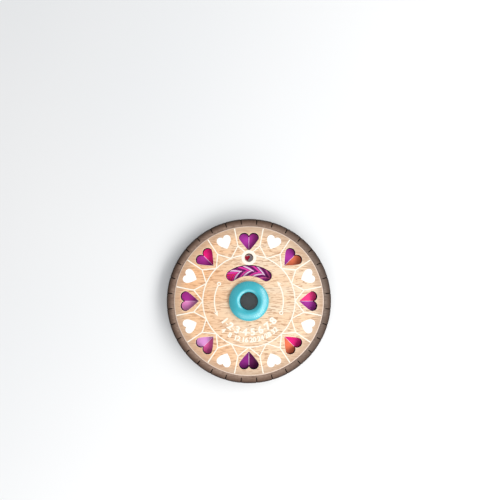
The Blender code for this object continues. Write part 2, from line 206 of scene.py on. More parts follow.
# %% [markdown]
# ## Points, copies, joins and cuts
#
# What repeats round the dial is modelled once and copied with a mesh of its
# own, turned about the hub axis. Many cutters are joined into one before they
# are used, because one Boolean is quicker and cleaner than many.

# %% Helpers: points, copies, joins and cuts
def arc_points(centre, radius, start, end, steps):
    """Points along an arc, with both of its ends."""
    points = []
    for step in range(steps + 1):
        angle = start + (end - start) * step / steps
        points.append((centre[0] + radius * math.cos(angle), centre[1] + radius * math.sin(angle)))
    return points


def circle_points(centre, radius, steps):
    """Points round a full circle."""
    return arc_points(centre, radius, 0.0, 2.0 * math.pi * (steps - 1) / steps, steps - 1)


def turn_points(points, angle):
    """Turns flat points about the hub axis."""
    turn = Matrix.Rotation(angle, 2)
    return [tuple(turn @ Vector(point)) for point in points]


def copy_turned(item, angle, name):
    """Copies a piece with a mesh of its own, turned about the hub axis."""
    only(item)
    bpy.ops.object.duplicate()
    twin = bpy.context.active_object
    twin.name = name
    bpy.ops.transform.rotate(value=-angle, orient_axis="Z", center_override=(0.0, 0.0, 0.0))
    bpy.ops.object.transform_apply(location=True, rotation=True, scale=True)
    return twin


def copies_round(first, count, name):
    """A piece and its copies, evenly spaced round the hub axis."""
    copies = [first]
    for index in range(1, count):
        copies.append(copy_turned(first, 2.0 * math.pi * index / count, name))
    return copies


def put_at(item, spot):
    """Moves a piece to a flat point and applies the move."""
    item.location = (*spot, 0.0)
    only(item)
    bpy.ops.object.transform_apply(location=True, rotation=False, scale=False)


def join_all(items, name):
    """Joins several objects into one."""
    bpy.ops.object.select_all(action="DESELECT")
    for item in items:
        item.select_set(True)
    bpy.context.view_layer.objects.active = items[0]
    bpy.ops.object.join()
    items[0].name = name
    return items[0]


def cut_with(item, cutter):
    """Takes the cutter's shape out of a piece, then throws the cutter away."""
    apply_modifier(item, "BOOLEAN", operation="DIFFERENCE", solver="EXACT", object=cutter)
    bpy.data.objects.remove(cutter)

# %% [markdown]
# ## The heart outline
#
# A heart is two round lobes, and on each side a curve that leaves the lobe
# smoothly and runs straight into the tip. The same outline cuts the windows
# and, smaller, shapes the white printed hearts between them.

# %% Work out the heart
LOBE_SHARE = 0.262
HEART_TIP_ANGLE = math.radians(43.0)


def heart_points(width, length, tip_angle=HEART_TIP_ANGLE, lobe_steps=14, side_steps=8):
    """A heart with its tip at the origin and its lobes towards +Y."""
    lobe = LOBE_SHARE * width
    centre = Vector((width / 2.0 - lobe, length - lobe))
    notch_angle = math.pi - math.acos(centre.x / lobe)
    right = []
    for step in range(lobe_steps + 1):
        angle = notch_angle * step / lobe_steps
        right.append(centre + lobe * Vector((math.cos(angle), math.sin(angle))))
    start = right[0]
    control = Vector((start.x, start.x / math.tan(tip_angle)))
    side = []
    for step in range(1, side_steps):
        share = step / side_steps
        side.append((1.0 - share) ** 2 * start + 2.0 * share * (1.0 - share) * control)
    right = [Vector((0.0, 0.0))] + side[::-1] + right
    left = [Vector((-point.x, point.y)) for point in right[-2:0:-1]]
    return [(point.x, point.y) for point in right + left]


print("heart outline:", len(heart_points(HEART_WIDTH, HEART_LENGTH)), "points")

# %% [markdown]
# ## Colours
#
# A colour is easiest to judge as the three bytes of a picture, but shaders
# count in linear light. One small function turns the first into the second.

# %% Turn picture colours into linear light
def colour(red, green, blue):
    """An sRGB colour in bytes as linear RGBA."""
    linear = []
    for byte in (red, green, blue):
        value = byte / 255.0
        linear.append(value / 12.92 if value <= 0.04045 else ((value + 0.055) / 1.055) ** 2.4)
    return (*linear, 1.0)

# %% [markdown]
# ## Helpers for nodes
#
# Every finish is a Principled shader fed by procedural nodes that read Object
# coordinates, in metres. By hand, each socket of a node is either set or
# linked. These helpers do both, by name, so a node takes one line.

# %% Helpers: nodes
def feed(tree, socket, value):
    """Links a socket to a value that is a socket itself, or else sets it."""
    if isinstance(value, bpy.types.NodeSocket):
        tree.links.new(value, socket)
    else:
        socket.default_value = value


def add_node(tree, kind, **inputs):
    """Adds a node and feeds its inputs by name, with _ for a space."""
    node = tree.nodes.new(kind)
    for name, value in inputs.items():
        feed(tree, node.inputs[name.replace("_", " ")], value)
    return node


def maths(tree, operation, first, second=0.0):
    """A Math node's result."""
    node = tree.nodes.new("ShaderNodeMath")
    node.operation = operation
    feed(tree, node.inputs[0], first)
    feed(tree, node.inputs[1], second)
    return node.outputs[0]


# A Mix node holds sockets for numbers, vectors and colours. These are the
# places of its factor, its two colours and its colour result.
MIX_INPUTS = (0, 6, 7)
MIX_RESULT = 2


def blend_colours(tree, mask, first, second, mode="MIX"):
    """Mixes two colours by a mask."""
    node = tree.nodes.new("ShaderNodeMix")
    node.data_type = "RGBA"
    node.blend_type = mode
    for place, value in zip(MIX_INPUTS, (mask, first, second)):
        feed(tree, node.inputs[place], value)
    return node.outputs[MIX_RESULT]


def fade(tree, value, low, high, out_low=0.0, out_high=1.0):
    """Maps a value's range smoothly to another range."""
    node = add_node(
        tree, "ShaderNodeMapRange", Value=value, From_Min=low, From_Max=high,
        To_Min=out_low, To_Max=out_high,
    )
    node.interpolation_type = "SMOOTHSTEP"
    return node.outputs["Result"]


def stretched_noise(tree, place, scale, detail=3.0, roughness=0.5, distortion=0.0):
    """Noise whose grain is stretched by a scale per axis, in cells per metre."""
    mapping = add_node(tree, "ShaderNodeMapping", Vector=place, Scale=scale)
    noise = add_node(
        tree, "ShaderNodeTexNoise", Vector=mapping.outputs[0], Scale=1.0, Detail=detail,
        Roughness=roughness, Distortion=distortion,
    )
    return noise.outputs["Fac"]

# %% [markdown]
# ## Helpers for groups and materials
#
# What several finishes share, such as grain, is a node group with named inputs
# and outputs, built once. All finishes end alike, so one helper joins their
# colour, roughness and bump to the shader.

# %% Helpers: groups and materials
def new_group(name, inputs, outputs):
    """A shader node group: inputs are (name, kind, value), outputs are (name, kind)."""
    group = bpy.data.node_groups.new(name, "ShaderNodeTree")
    for label, kind, value in inputs:
        socket = group.interface.new_socket(label, in_out="INPUT", socket_type=kind)
        if value is not None:
            socket.default_value = value
    for label, kind in outputs:
        group.interface.new_socket(label, in_out="OUTPUT", socket_type=kind)
    entry = group.nodes.new("NodeGroupInput")
    leave = group.nodes.new("NodeGroupOutput")
    return group, entry.outputs, leave.inputs


def use_group(tree, group, **inputs):
    """Places a group in a material's tree and feeds its inputs."""
    node = tree.nodes.new("ShaderNodeGroup")
    node.node_tree = group
    for name, value in inputs.items():
        feed(tree, node.inputs[name.replace("_", " ")], value)
    return node.outputs


def new_material(name, **settings):
    """A material with its Principled shader, and the Object coordinates to feed it."""
    material = bpy.data.materials.new(name)
    material.use_nodes = True
    tree = material.node_tree
    shader = tree.nodes["Principled BSDF"]
    for label, value in settings.items():
        shader.inputs[label.replace("_", " ")].default_value = value
    place = tree.nodes.new("ShaderNodeTexCoord").outputs["Object"]
    return material, tree, shader, place


def dress(tree, shader, tint, marks, height, depth):
    """Ends a finish: its colour, its roughness marks, and a bump, in metres at full strength."""
    bump = add_node(tree, "ShaderNodeBump", Height=height, Distance=depth, Strength=1.0)
    tree.links.new(tint, shader.inputs["Base Color"])
    tree.links.new(marks["Roughness"], shader.inputs["Roughness"])
    tree.links.new(bump.outputs["Normal"], shader.inputs["Normal"])

# %% [markdown]
# ## Wood grain as one group
#
# Beech shows four things at this size: broad, soft bands of warmer and paler
# wood, wavy streaks, fine fibres, and the short dark flecks of its rays. All
# are noise stretched along the grain, X here. The flecks are the peaks of a
# noise whose cells are some millimetres long and under a millimetre wide.

# %% Build the wood grain group
def build_wood_grain():
    tree, taken, given = new_group(
        "wood_grain",
        [
            ("Place", "NodeSocketVector", None),
            ("Pale", "NodeSocketColor", colour(246, 220, 184)),
            ("Warm", "NodeSocketColor", colour(236, 186, 140)),
            ("Fleck", "NodeSocketColor", colour(150, 108, 72)),
            ("Fleck Amount", "NodeSocketFloat", 0.6),
            ("Streak Amount", "NodeSocketFloat", 0.5),
        ],
        [("Color", "NodeSocketColor"), ("Height", "NodeSocketFloat")],
    )
    place = taken["Place"]
    bands = stretched_noise(tree, place, (9.0, 95.0, 95.0), 3.0, 0.55, 0.6)
    bands = fade(tree, bands, 0.34, 0.66)
    fibres = stretched_noise(tree, place, (160.0, 2600.0, 2600.0), 2.0, 0.6)
    fibres = fade(tree, fibres, 0.3, 0.7)
    streaks = stretched_noise(tree, place, (110.0, 1300.0, 1300.0), 3.0, 0.6, 0.4)
    streaks = fade(tree, streaks, 0.5, 0.66)
    peaks = stretched_noise(tree, place, (250.0, 1700.0, 1200.0), 1.0, 0.4, 0.15)
    peaks = fade(tree, peaks, 0.57, 0.60)
    patches = stretched_noise(tree, place, (60.0, 60.0, 60.0), 2.0)
    patches = fade(tree, patches, 0.34, 0.58, 0.65, 1.0)
    flecks = maths(tree, "MULTIPLY", peaks, patches)
    strength = maths(tree, "MULTIPLY", flecks, taken["Fleck Amount"])

    wood = blend_colours(tree, bands, taken["Pale"], taken["Warm"])
    shade = maths(tree, "MULTIPLY", streaks, taken["Streak Amount"])
    wood = blend_colours(tree, shade, wood, taken["Fleck"])
    fine = maths(tree, "MULTIPLY", fibres, 0.08)
    wood = blend_colours(tree, fine, wood, taken["Fleck"])
    wood = blend_colours(tree, strength, wood, taken["Fleck"])
    tree.links.new(wood, given["Color"])
    lowered = maths(tree, "SUBTRACT", fibres, strength)
    tree.links.new(lowered, given["Height"])
    return tree


wood_grain = build_wood_grain()
print("group:", wood_grain.name)

# %% [markdown]
# ## Handling marks as one group
#
# Nothing that is held stays evenly shiny. This group gives a slow, blotchy
# mask for roughness, with a little fine grain in it, that every finish uses
# at its own strength.

# %% Build the handling group
def build_handling():
    tree, taken, given = new_group(
        "handling",
        [
            ("Place", "NodeSocketVector", None),
            ("Low", "NodeSocketFloat", 0.4),
            ("High", "NodeSocketFloat", 0.6),
            ("Size", "NodeSocketFloat", 90.0),
        ],
        [("Roughness", "NodeSocketFloat"), ("Blotches", "NodeSocketFloat")],
    )
    blotches = add_node(
        tree, "ShaderNodeTexNoise", Vector=taken["Place"], Scale=taken["Size"], Detail=5.0,
    )
    mask = fade(tree, blotches.outputs["Fac"], 0.35, 0.65)
    span = maths(tree, "SUBTRACT", taken["High"], taken["Low"])
    rise = maths(tree, "MULTIPLY", mask, span)
    tree.links.new(maths(tree, "ADD", taken["Low"], rise), given["Roughness"])
    tree.links.new(mask, given["Blotches"])
    return tree


handling = build_handling()
print("group:", handling.name)

# %% [markdown]
# ## One recipe for every wood
#
# Face, rim, back and carrier differ in their tints, in how rough they are, and
# in shading of their own, such as a smoked edge. So one function makes them
# all. It takes the tints, and a function that shades the grain if there is one.

# %% Write the recipe for woods
def make_wood(name, tints, amounts, wear, depth, shade=None, ior=1.45):
    """A wood: three tints, amounts of flecks and streaks, roughness range and bump depth."""
    material, tree, shader, place = new_material(name, IOR=ior)
    pale, warm, fleck = (colour(*tint) for tint in tints)
    grain = use_group(
        tree, wood_grain, Place=place, Pale=pale, Warm=warm, Fleck=fleck,
        Fleck_Amount=amounts[0], Streak_Amount=amounts[1],
    )
    wood = shade(tree, place, grain) if shade else grain["Color"]
    marks = use_group(tree, handling, Place=place, Low=wear[0], High=wear[1])
    dress(tree, shader, wood, marks, grain["Height"], depth)
    print("wood:", name)
    return material

# %% [markdown]
# ## The face's wood
#
# The face is pale beech with its grain across the dial. It is painted warmer
# and darker towards the left, as painted shade for the hub's shadow there, and
# painted darker towards the rim, as painted shade. A fine pale ring just inside
# its edge is a painted highlight, where the edge catches the light.

# %% Make the face wood
FACE_TINTS = [(238, 220, 195), (239, 207, 173), (160, 101, 56)]
LEFT_SHADE_SPAN = (10.0 * MM, -40.0 * MM)
SHADED_RADIUS = 40.5 * MM
EDGE_HIGHLIGHT_RADIUS = 47.7 * MM
EDGE_HIGHLIGHT_SOFTNESS = 0.1 * MM
RIM_SHADE_MARGIN = 0.6 * MM


def radius_of(tree, place):
    """Distance from the hub axis, and the three coordinates apart."""
    parts = add_node(tree, "ShaderNodeSeparateXYZ", Vector=place).outputs
    flat = add_node(tree, "ShaderNodeCombineXYZ", X=parts["X"], Y=parts["Y"], Z=0.0)
    length = tree.nodes.new("ShaderNodeVectorMath")
    length.operation = "LENGTH"
    tree.links.new(flat.outputs[0], length.inputs[0])
    return length.outputs["Value"], parts


def shade_face(tree, place, grain):
    """Paints shade on the left side and towards the rim, and a highlight at the very edge."""
    radius, parts = radius_of(tree, place)
    # Painted shade: warmer and darker towards the left, for the hub's shadow there.
    painted_left_shade = fade(tree, parts["X"], *LEFT_SHADE_SPAN, 0.0, 0.8)
    wood = blend_colours(tree, painted_left_shade, grain["Color"], colour(253, 220, 188), "MULTIPLY")
    # Painted shade: the wood darkens towards the rim.
    painted_rim_shade = fade(tree, radius, SHADED_RADIUS, EDGE_HIGHLIGHT_RADIUS - RIM_SHADE_MARGIN, 0.0, 0.72)
    wood = blend_colours(tree, painted_rim_shade, wood, colour(184, 155, 131))
    # Painted highlight: a fine pale ring just inside the face's edge.
    inner = EDGE_HIGHLIGHT_RADIUS - EDGE_HIGHLIGHT_SOFTNESS
    edge = fade(tree, radius, inner, EDGE_HIGHLIGHT_RADIUS + EDGE_HIGHLIGHT_SOFTNESS, 0.0, 0.8)
    return blend_colours(tree, edge, wood, colour(226, 207, 194))


face_wood = make_wood("face_beech", FACE_TINTS, (0.6, 0.27), (0.42, 0.6), 0.02 * MM, shade_face)

# %% [markdown]
# ## Charred window walls
#
# The windows are cut with a laser, which leaves their walls dark brown, with
# fine upright streaks from the pulsing beam and a lighter brown blush near
# the top, where the cut was quickest. Sanding afterwards bares a hair of pale
# wood along the cut's upper edge, and that edge is painted paler still, as a
# painted highlight where it catches the light.

# %% Make the charred wood
BLUSH_DEPTH = 0.9 * MM


def make_charred_wood():
    material, tree, shader, place = new_material("charred_cut", IOR=1.4)
    streaks = stretched_noise(tree, place, (2600.0, 2600.0, 120.0), 3.0, 0.6)
    streaks = fade(tree, streaks, 0.3, 0.75)
    parts = add_node(tree, "ShaderNodeSeparateXYZ", Vector=place).outputs
    height = fade(tree, parts["Z"], FACE_TOP - BLUSH_DEPTH, FACE_TOP, 0.0, 0.3)
    char = blend_colours(tree, streaks, colour(24, 13, 10), colour(56, 33, 24))
    char = blend_colours(tree, height, char, colour(104, 66, 46))
    marks = use_group(tree, handling, Place=place, Low=0.7, High=0.9, Size=400.0)
    dress(tree, shader, char, marks, streaks, 0.04 * MM)
    return material


charred_wood = make_charred_wood()
# The eased edges' pale wood is bare wood made paler by a painted highlight.
EDGE_HIGHLIGHT_TINTS = [(255, 240, 226), (252, 230, 210), (214, 172, 134)]
pale_edge_highlight = make_wood("eased_edge_highlight", EDGE_HIGHLIGHT_TINTS, (0.3, 0.15), (0.5, 0.65), 0.02 * MM)
print("charred:", charred_wood.name)

# %% [markdown]
# ## Cutters for the windows
#
# Each window is drawn and raised into a cutter, and a Boolean takes it out of
# the face later. A laser's cut narrows a little with depth, so each cutter is
# inset towards its foot, and the dark walls show from above. The curved
# window's outline is two arcs with a half circle at each end.

# %% Helpers: draw and raise the windows' cutters
CUT_SPARE = 2.0 * MM
KERF_TAPER = 0.28 * MM


def raise_tapered_cutter(points, name="window_cut"):
    """A cutter that is full size at the face's top and narrower by the kerf at its bottom."""
    item = draw_outline([(x, y, FACE_TOP) for x, y in points], name)
    bpy.ops.mesh.select_mode(type="FACE")
    bpy.ops.mesh.select_all(action="SELECT")
    bpy.ops.mesh.normals_make_consistent(inside=False)
    bpy.ops.mesh.edge_face_add()
    bpy.ops.mesh.inset(thickness=KERF_TAPER, depth=0.0)
    bpy.ops.transform.translate(value=(0.0, 0.0, FACE_BOTTOM - FACE_TOP))
    bpy.ops.mesh.extrude_region_move(TRANSFORM_OT_translate={"value": (0.0, 0.0, -CUT_SPARE)})
    bpy.ops.mesh.select_mode(type="EDGE")
    bpy.ops.mesh.select_all(action="DESELECT")
    bpy.ops.mesh.select_non_manifold()
    bpy.ops.mesh.extrude_edges_move(TRANSFORM_OT_translate={"value": (0.0, 0.0, CUT_SPARE)})
    bpy.ops.mesh.edge_face_add()
    bpy.ops.mesh.select_all(action="SELECT")
    bpy.ops.mesh.normals_make_consistent(inside=False)
    bpy.ops.mesh.select_mode(type="VERT")
    bpy.ops.object.mode_set(mode="OBJECT")
    return item


def arc_window_points(radius, width, half_angle, steps=40, end_steps=14):
    """A curved slot with round ends, centred on the dial's north side."""
    half = width / 2.0
    first = NORTH - half_angle
    last = NORTH + half_angle
    outer = arc_points((0.0, 0.0), radius + half, first, last, steps)
    inner = arc_points((0.0, 0.0), radius - half, last, first, steps)
    left = (radius * math.cos(last), radius * math.sin(last))
    right = (radius * math.cos(first), radius * math.sin(first))
    left_cap = arc_points(left, half, last, last + math.pi, end_steps)[1:-1]
    right_cap = arc_points(right, half, first + math.pi, first + 2.0 * math.pi, end_steps)[1:-1]
    return outer + left_cap + inner + right_cap

# %% [markdown]
# ## The face board
#
# The face is turned, then pierced: eight hearts, one curved window and one
# round one. Modelling follows that order. The section is spun round the hub,
# with its outer edge bevelled and a shallow recess for the hub's washer. The
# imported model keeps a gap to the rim; here the board fills it, as glued wood
# does. One Boolean takes out all the windows, and a Bevel by angle eases every
# cut edge, because a perfectly sharp edge catches no light. The number of
# steps of the spin keeps its long edges clear of the windows' sides, where the
# bevel would fold them.

# %% Model the face board
FACE_STEPS = 204
FACE_BEVEL = 0.35 * MM
FACE_BORE_RADIUS = 9.75 * MM
WASHER_RECESS_RADIUS = 11.85 * MM
WASHER_RECESS_DEPTH = 0.7 * MM
EASED_EDGE = 0.12 * MM
FACE_FIT = 0.02 * MM
EASE_ANGLE = math.radians(50.0)
WALL_MARGIN = 1.0 * MM
WALL_SLOPE = 0.3
EDGE_SLOPE = 0.98
LEVEL_SLOPE = 0.999


def model_face_board():
    outer = FACE_RADIUS + GAP - FACE_FIT
    recess_floor = FACE_TOP - WASHER_RECESS_DEPTH
    board = turn_outline(
        [
            (FACE_BORE_RADIUS, FACE_BOTTOM),
            (outer, FACE_BOTTOM),
            (outer, FACE_TOP - FACE_BEVEL),
            (outer - FACE_BEVEL, FACE_TOP),
            (WASHER_RECESS_RADIUS, FACE_TOP),
            (WASHER_RECESS_RADIUS, recess_floor),
            (FACE_BORE_RADIUS, recess_floor),
        ],
        FACE_STEPS,
        "printed_face_board",
    )
    arc = arc_window_points(ARC_WINDOW_RADIUS, ARC_WINDOW_WIDTH, ARC_WINDOW_HALF_ANGLE)
    small = circle_points((0.0, ROUND_WINDOW_CENTRE), ROUND_WINDOW_RADIUS, 40)
    heart = [(x, y + HEART_TIP_RADIUS) for x, y in heart_points(HEART_WIDTH, HEART_LENGTH)]
    first_heart = raise_tapered_cutter(heart)
    cutters = [raise_tapered_cutter(arc), raise_tapered_cutter(small)]
    cutters += copies_round(first_heart, WINDOW_COUNT, "heart_cut")
    cut_with(board, join_all(cutters, "window_cuts"))
    apply_modifier(
        board, "BEVEL", width=EASED_EDGE, segments=2, limit_method="ANGLE",
        angle_limit=EASE_ANGLE, use_clamp_overlap=False,
    )
    finish_piece(board, "printed_face_board", "dial", face_wood, ["face_plate"])
    board.data.materials.append(charred_wood)
    board.data.materials.append(pale_edge_highlight)
    nearest = WASHER_RECESS_RADIUS + WALL_MARGIN
    farthest = FACE_RADIUS - WALL_MARGIN
    for face in board.data.polygons:
        pierced = nearest < face.center.xy.length < farthest
        if pierced and abs(face.normal.z) < WALL_SLOPE:
            face.material_index = 1
        # Eased edges of the windows: pale wood with a painted highlight.
        elif pierced and WALL_SLOPE <= face.normal.z < EDGE_SLOPE:
            face.material_index = 2
        if abs(face.normal.z) > LEVEL_SLOPE:
            face.use_smooth = False


model_face_board()

# %% [markdown]
# ## The rim's wood
#
# The rim is a harder, grey-brown wood with the same grain direction. It is
# painted darker towards its rounded outer edge, and darkest at the lip, as
# painted shade where the shoulder turns from the light; its right side is
# painted greyer and darker, as painted shade. Faint ticks run outward where the
# tool turned it. Their noise is read in polar coordinates: the angle takes
# the place of X.

# %% Make the rim wood
RIM_TINTS = [(155, 132, 117), (138, 115, 101), (86, 61, 46)]
TICK_SCALE = (38.0, 110.0, 60.0)
EDGE_SHADE_BAND = (49.0 * MM, 52.2 * MM)
RIGHT_SHADE_SPAN = (10.0 * MM, 50.0 * MM)
LIP_SHADE_BAND = (51.7 * MM, 53.4 * MM)


def shade_rim(tree, place, grain):
    """Paints shade outward, draws ticks, paints the right side greyer as shade, and the lip
    darkest.
    """
    radius, parts = radius_of(tree, place)
    angle = maths(tree, "ARCTAN2", parts["Y"], parts["X"])
    around = add_node(tree, "ShaderNodeCombineXYZ", X=angle, Y=radius, Z=parts["Z"])
    ticks = stretched_noise(tree, around.outputs[0], TICK_SCALE, 2.0, 0.5)
    ticks = fade(tree, ticks, 0.38, 0.64, 0.0, 0.35)
    # Painted shade: darker towards the rounded outer edge.
    outward = fade(tree, radius, *EDGE_SHADE_BAND, 0.0, 0.92)
    wood = blend_colours(tree, outward, grain["Color"], colour(88, 64, 50))
    wood = blend_colours(tree, ticks, wood, colour(110, 88, 75))
    # Painted shade: the right side greyer and darker.
    painted_right_shade = fade(tree, parts["X"], *RIGHT_SHADE_SPAN, 0.0, 0.8)
    wood = blend_colours(tree, painted_right_shade, wood, colour(208, 220, 230), "MULTIPLY")
    # Painted shade: darkest at the lip.
    painted_lip_shade = fade(tree, radius, *LIP_SHADE_BAND, 0.0, 0.94)
    fibres = fade(tree, grain["Height"], 0.1, 0.9, 0.0, 0.8)
    lip_shade_tint = blend_colours(tree, fibres, colour(26, 12, 6), colour(60, 39, 27))
    return blend_colours(tree, painted_lip_shade, wood, lip_shade_tint)


rim_wood = make_wood(
    "rim_hardwood", RIM_TINTS, (0.4, 0.25), (0.66, 0.8), 0.03 * MM, shade_rim, ior=1.35,
)

# %% [markdown]
# ## The slotted rim
#
# The rim is turned from one ring: a flat inner land, a rounded shoulder, an
# upright wall and a bevel at the foot, with a seat for the face above and for
# the back below. The slots are saw cuts with a round end. They stop just under
# the shoulder, so each has a floor, and from above the rim's outline stays
# whole. One cutter is drawn and copied round, and the cut faces are charred.

# %% Model the rim
RIM_STEPS = 256
RIM_FLAT = 0.7 * MM
RIM_ROUND_HEIGHT = 4.6 * MM
RIM_BEVEL = 0.8 * MM
POCKET_RADIUS = 45.3 * MM
SHELF_TOP = FACE_BOTTOM - GAP
SLOT_EASE = 0.08 * MM
SLOT_EASE_ANGLE = math.radians(40.0)
ROUND_STEPS = 12
SLOT_TOUCH = 0.01 * MM


def rim_section():
    """The rim's section as (radius, height) corners."""
    seat = FACE_RADIUS + GAP
    round_width = RIM_RADIUS - seat - RIM_FLAT
    corners = [(seat, RIM_TOP)]
    for step in range(ROUND_STEPS + 1):
        angle = math.pi / 2.0 * step / ROUND_STEPS
        corners.append((
            RIM_RADIUS - round_width + round_width * math.sin(angle),
            RIM_TOP - RIM_ROUND_HEIGHT + RIM_ROUND_HEIGHT * math.cos(angle),
        ))
    corners += [(RIM_RADIUS, RIM_BEVEL), (RIM_RADIUS - RIM_BEVEL, 0.0)]
    corners += [(BACK_RADIUS + GAP, 0.0), (BACK_RADIUS + GAP, BACK_TOP + GAP)]
    corners += [(POCKET_RADIUS, BACK_TOP + GAP), (POCKET_RADIUS, SHELF_TOP), (seat, SHELF_TOP)]
    return corners


def slot_outline():
    """One slot seen from above, along +X, with a round inner end."""
    half = SLOT_WIDTH / 2.0
    end = RIM_RADIUS - SLOT_DEPTH + half
    points = arc_points((end, 0.0), half, math.pi / 2.0, 1.5 * math.pi, 6)
    return points + [(RIM_RADIUS + CUT_SPARE, -half), (RIM_RADIUS + CUT_SPARE, half)]


def is_slot_wall(face, half_pitch):
    """Whether a face is a side, the floor or the round end of a slot."""
    radius = face.center.xy.length
    end = RIM_RADIUS - SLOT_DEPTH
    if radius < end - SLOT_TOUCH or face.center.z < SLOT_FOOT - SLOT_TOUCH:
        return False
    pitch = 2.0 * half_pitch
    offset = (math.atan2(face.center.y, face.center.x) - half_pitch) % pitch
    offset = min(offset, pitch - offset)
    outward = face.center.xy.normalized()
    sideways = abs(face.normal.x * outward.y - face.normal.y * outward.x)
    floor = abs(face.center.z - SLOT_FOOT) < SLOT_TOUCH
    back = face.normal.xy.dot(outward) > 0.5 and radius < end + SLOT_WIDTH
    near = offset * radius < SLOT_WIDTH / 2.0 + SLOT_EASE
    return near and (sideways > 0.5 or floor or back)


def model_rim():
    rim = turn_outline(rim_section(), RIM_STEPS, "slotted_rim")
    half_pitch = math.pi / SLOT_COUNT
    outline = turn_points(slot_outline(), half_pitch)
    first = raise_outline(outline, SLOT_FOOT, RIM_TOP + CUT_SPARE)
    cut_with(rim, join_all(copies_round(first, SLOT_COUNT, "slot_cut"), "slot_cuts"))
    apply_modifier(
        rim, "BEVEL", width=SLOT_EASE, segments=2, limit_method="ANGLE",
        angle_limit=SLOT_EASE_ANGLE, use_clamp_overlap=False,
    )
    finish_piece(rim, "slotted_rim", "dial", rim_wood, ["slotted_wheel"])
    rim.data.materials.append(charred_wood)
    for face in rim.data.polygons:
        if is_slot_wall(face, half_pitch):
            face.material_index = 1


model_rim()

# %% [markdown]
# ## White ink
#
# The hearts and lines on the face are screen-printed in thick, creamy white
# ink. It hides the wood but for a breath of its grain, so the ink's own
# roughness varies and a trace of the grain shows through.

# %% Make the white ink
def make_white_ink(name, tint, show_through):
    material, tree, shader, place = new_material(name, IOR=1.45)
    grain = use_group(tree, wood_grain, Place=place, Fleck_Amount=0.5)
    trace = fade(tree, grain["Height"], 0.3, -0.6, 0.0, show_through)
    ink = blend_colours(tree, trace, tint, colour(210, 186, 154))
    marks = use_group(tree, handling, Place=place, Low=0.35, High=0.5, Size=200.0)
    dress(tree, shader, ink, marks, grain["Height"], 0.01 * MM)
    return material


heart_ink = make_white_ink("white_heart_ink", colour(246, 246, 244), 0.08)
line_ink = make_white_ink("white_line_ink", colour(242, 238, 225), 0.2)
print("inks:", heart_ink.name, line_ink.name)

# %% [markdown]
# ## The printed hearts
#
# Eight white hearts stand between the windows, tips inward. One is drawn
# and raised by a hundredth of a millimetre or so, the thickness of a heavy
# print, and the others are turned copies with meshes of their own.

# %% Print the hearts
PRINT_SINK = 0.02 * MM
PRINT_HEIGHT = 0.03 * MM
PRINT_BOTTOM = FACE_TOP - PRINT_SINK
PRINT_TOP = FACE_TOP + PRINT_HEIGHT
PRINTED_HEART_WIDTH = 9.3 * MM
PRINTED_HEART_LENGTH = 8.6 * MM
PRINTED_HEART_CENTRE = 40.7 * MM
PRINTED_TIP_ANGLE = math.radians(53.0)


def print_hearts():
    tip = PRINTED_HEART_CENTRE - PRINTED_HEART_LENGTH / 2.0
    heart = heart_points(PRINTED_HEART_WIDTH, PRINTED_HEART_LENGTH, PRINTED_TIP_ANGLE)
    outline = [(x, y + tip) for x, y in heart]
    half_turn = math.pi / WINDOW_COUNT
    first = raise_outline(turn_points(outline, half_turn), PRINT_BOTTOM, PRINT_TOP)
    for index, heart in enumerate(copies_round(first, WINDOW_COUNT, "heart")):
        finish_piece(heart, f"white_heart_{index + 1}", "dial", heart_ink)


print_hearts()

# %% [markdown]
# ## The printed lines
#
# A ring runs round the hub's field. From the face's edge a line comes in
# between every two hearts and forks into a V, which meets the ring. So each
# heart, cut or printed, sits in its own frame. Each line is a low strip, and
# the three kinds differ a little in height, so that no two faces lie in the
# same plane where they cross.

# %% Print the lattice
LINE_WIDTH = 0.74 * MM
RING_RADIUS = 29.7 * MM
FORK_RADIUS = 36.2 * MM
SPOKE_END_RADIUS = 47.5 * MM
LAYER_STEP = 0.004 * MM
SPOKE_COUNT = 16
WINDOW_RING_RADIUS = 4.8 * MM
WINDOW_RING_STEPS = 48
RING_OVERLAP = 0.3 * MM


def polar(radius, angle):
    """A flat point at a radius and an angle from +X."""
    return Vector((radius * math.cos(angle), radius * math.sin(angle)))


def strip_points(start, end, width):
    """The four corners of a straight strip."""
    along = (end - start).normalized()
    side = Vector((-along.y, along.x)) * width / 2.0
    return [tuple(start - side), tuple(end - side), tuple(end + side), tuple(start + side)]


def ring_section(inner, outer, layers):
    """A printed ring's section, whose top lies some layers above the plain print."""
    top = PRINT_TOP + layers * LAYER_STEP
    return [(inner, PRINT_BOTTOM), (outer, PRINT_BOTTOM), (outer, top), (inner, top)]


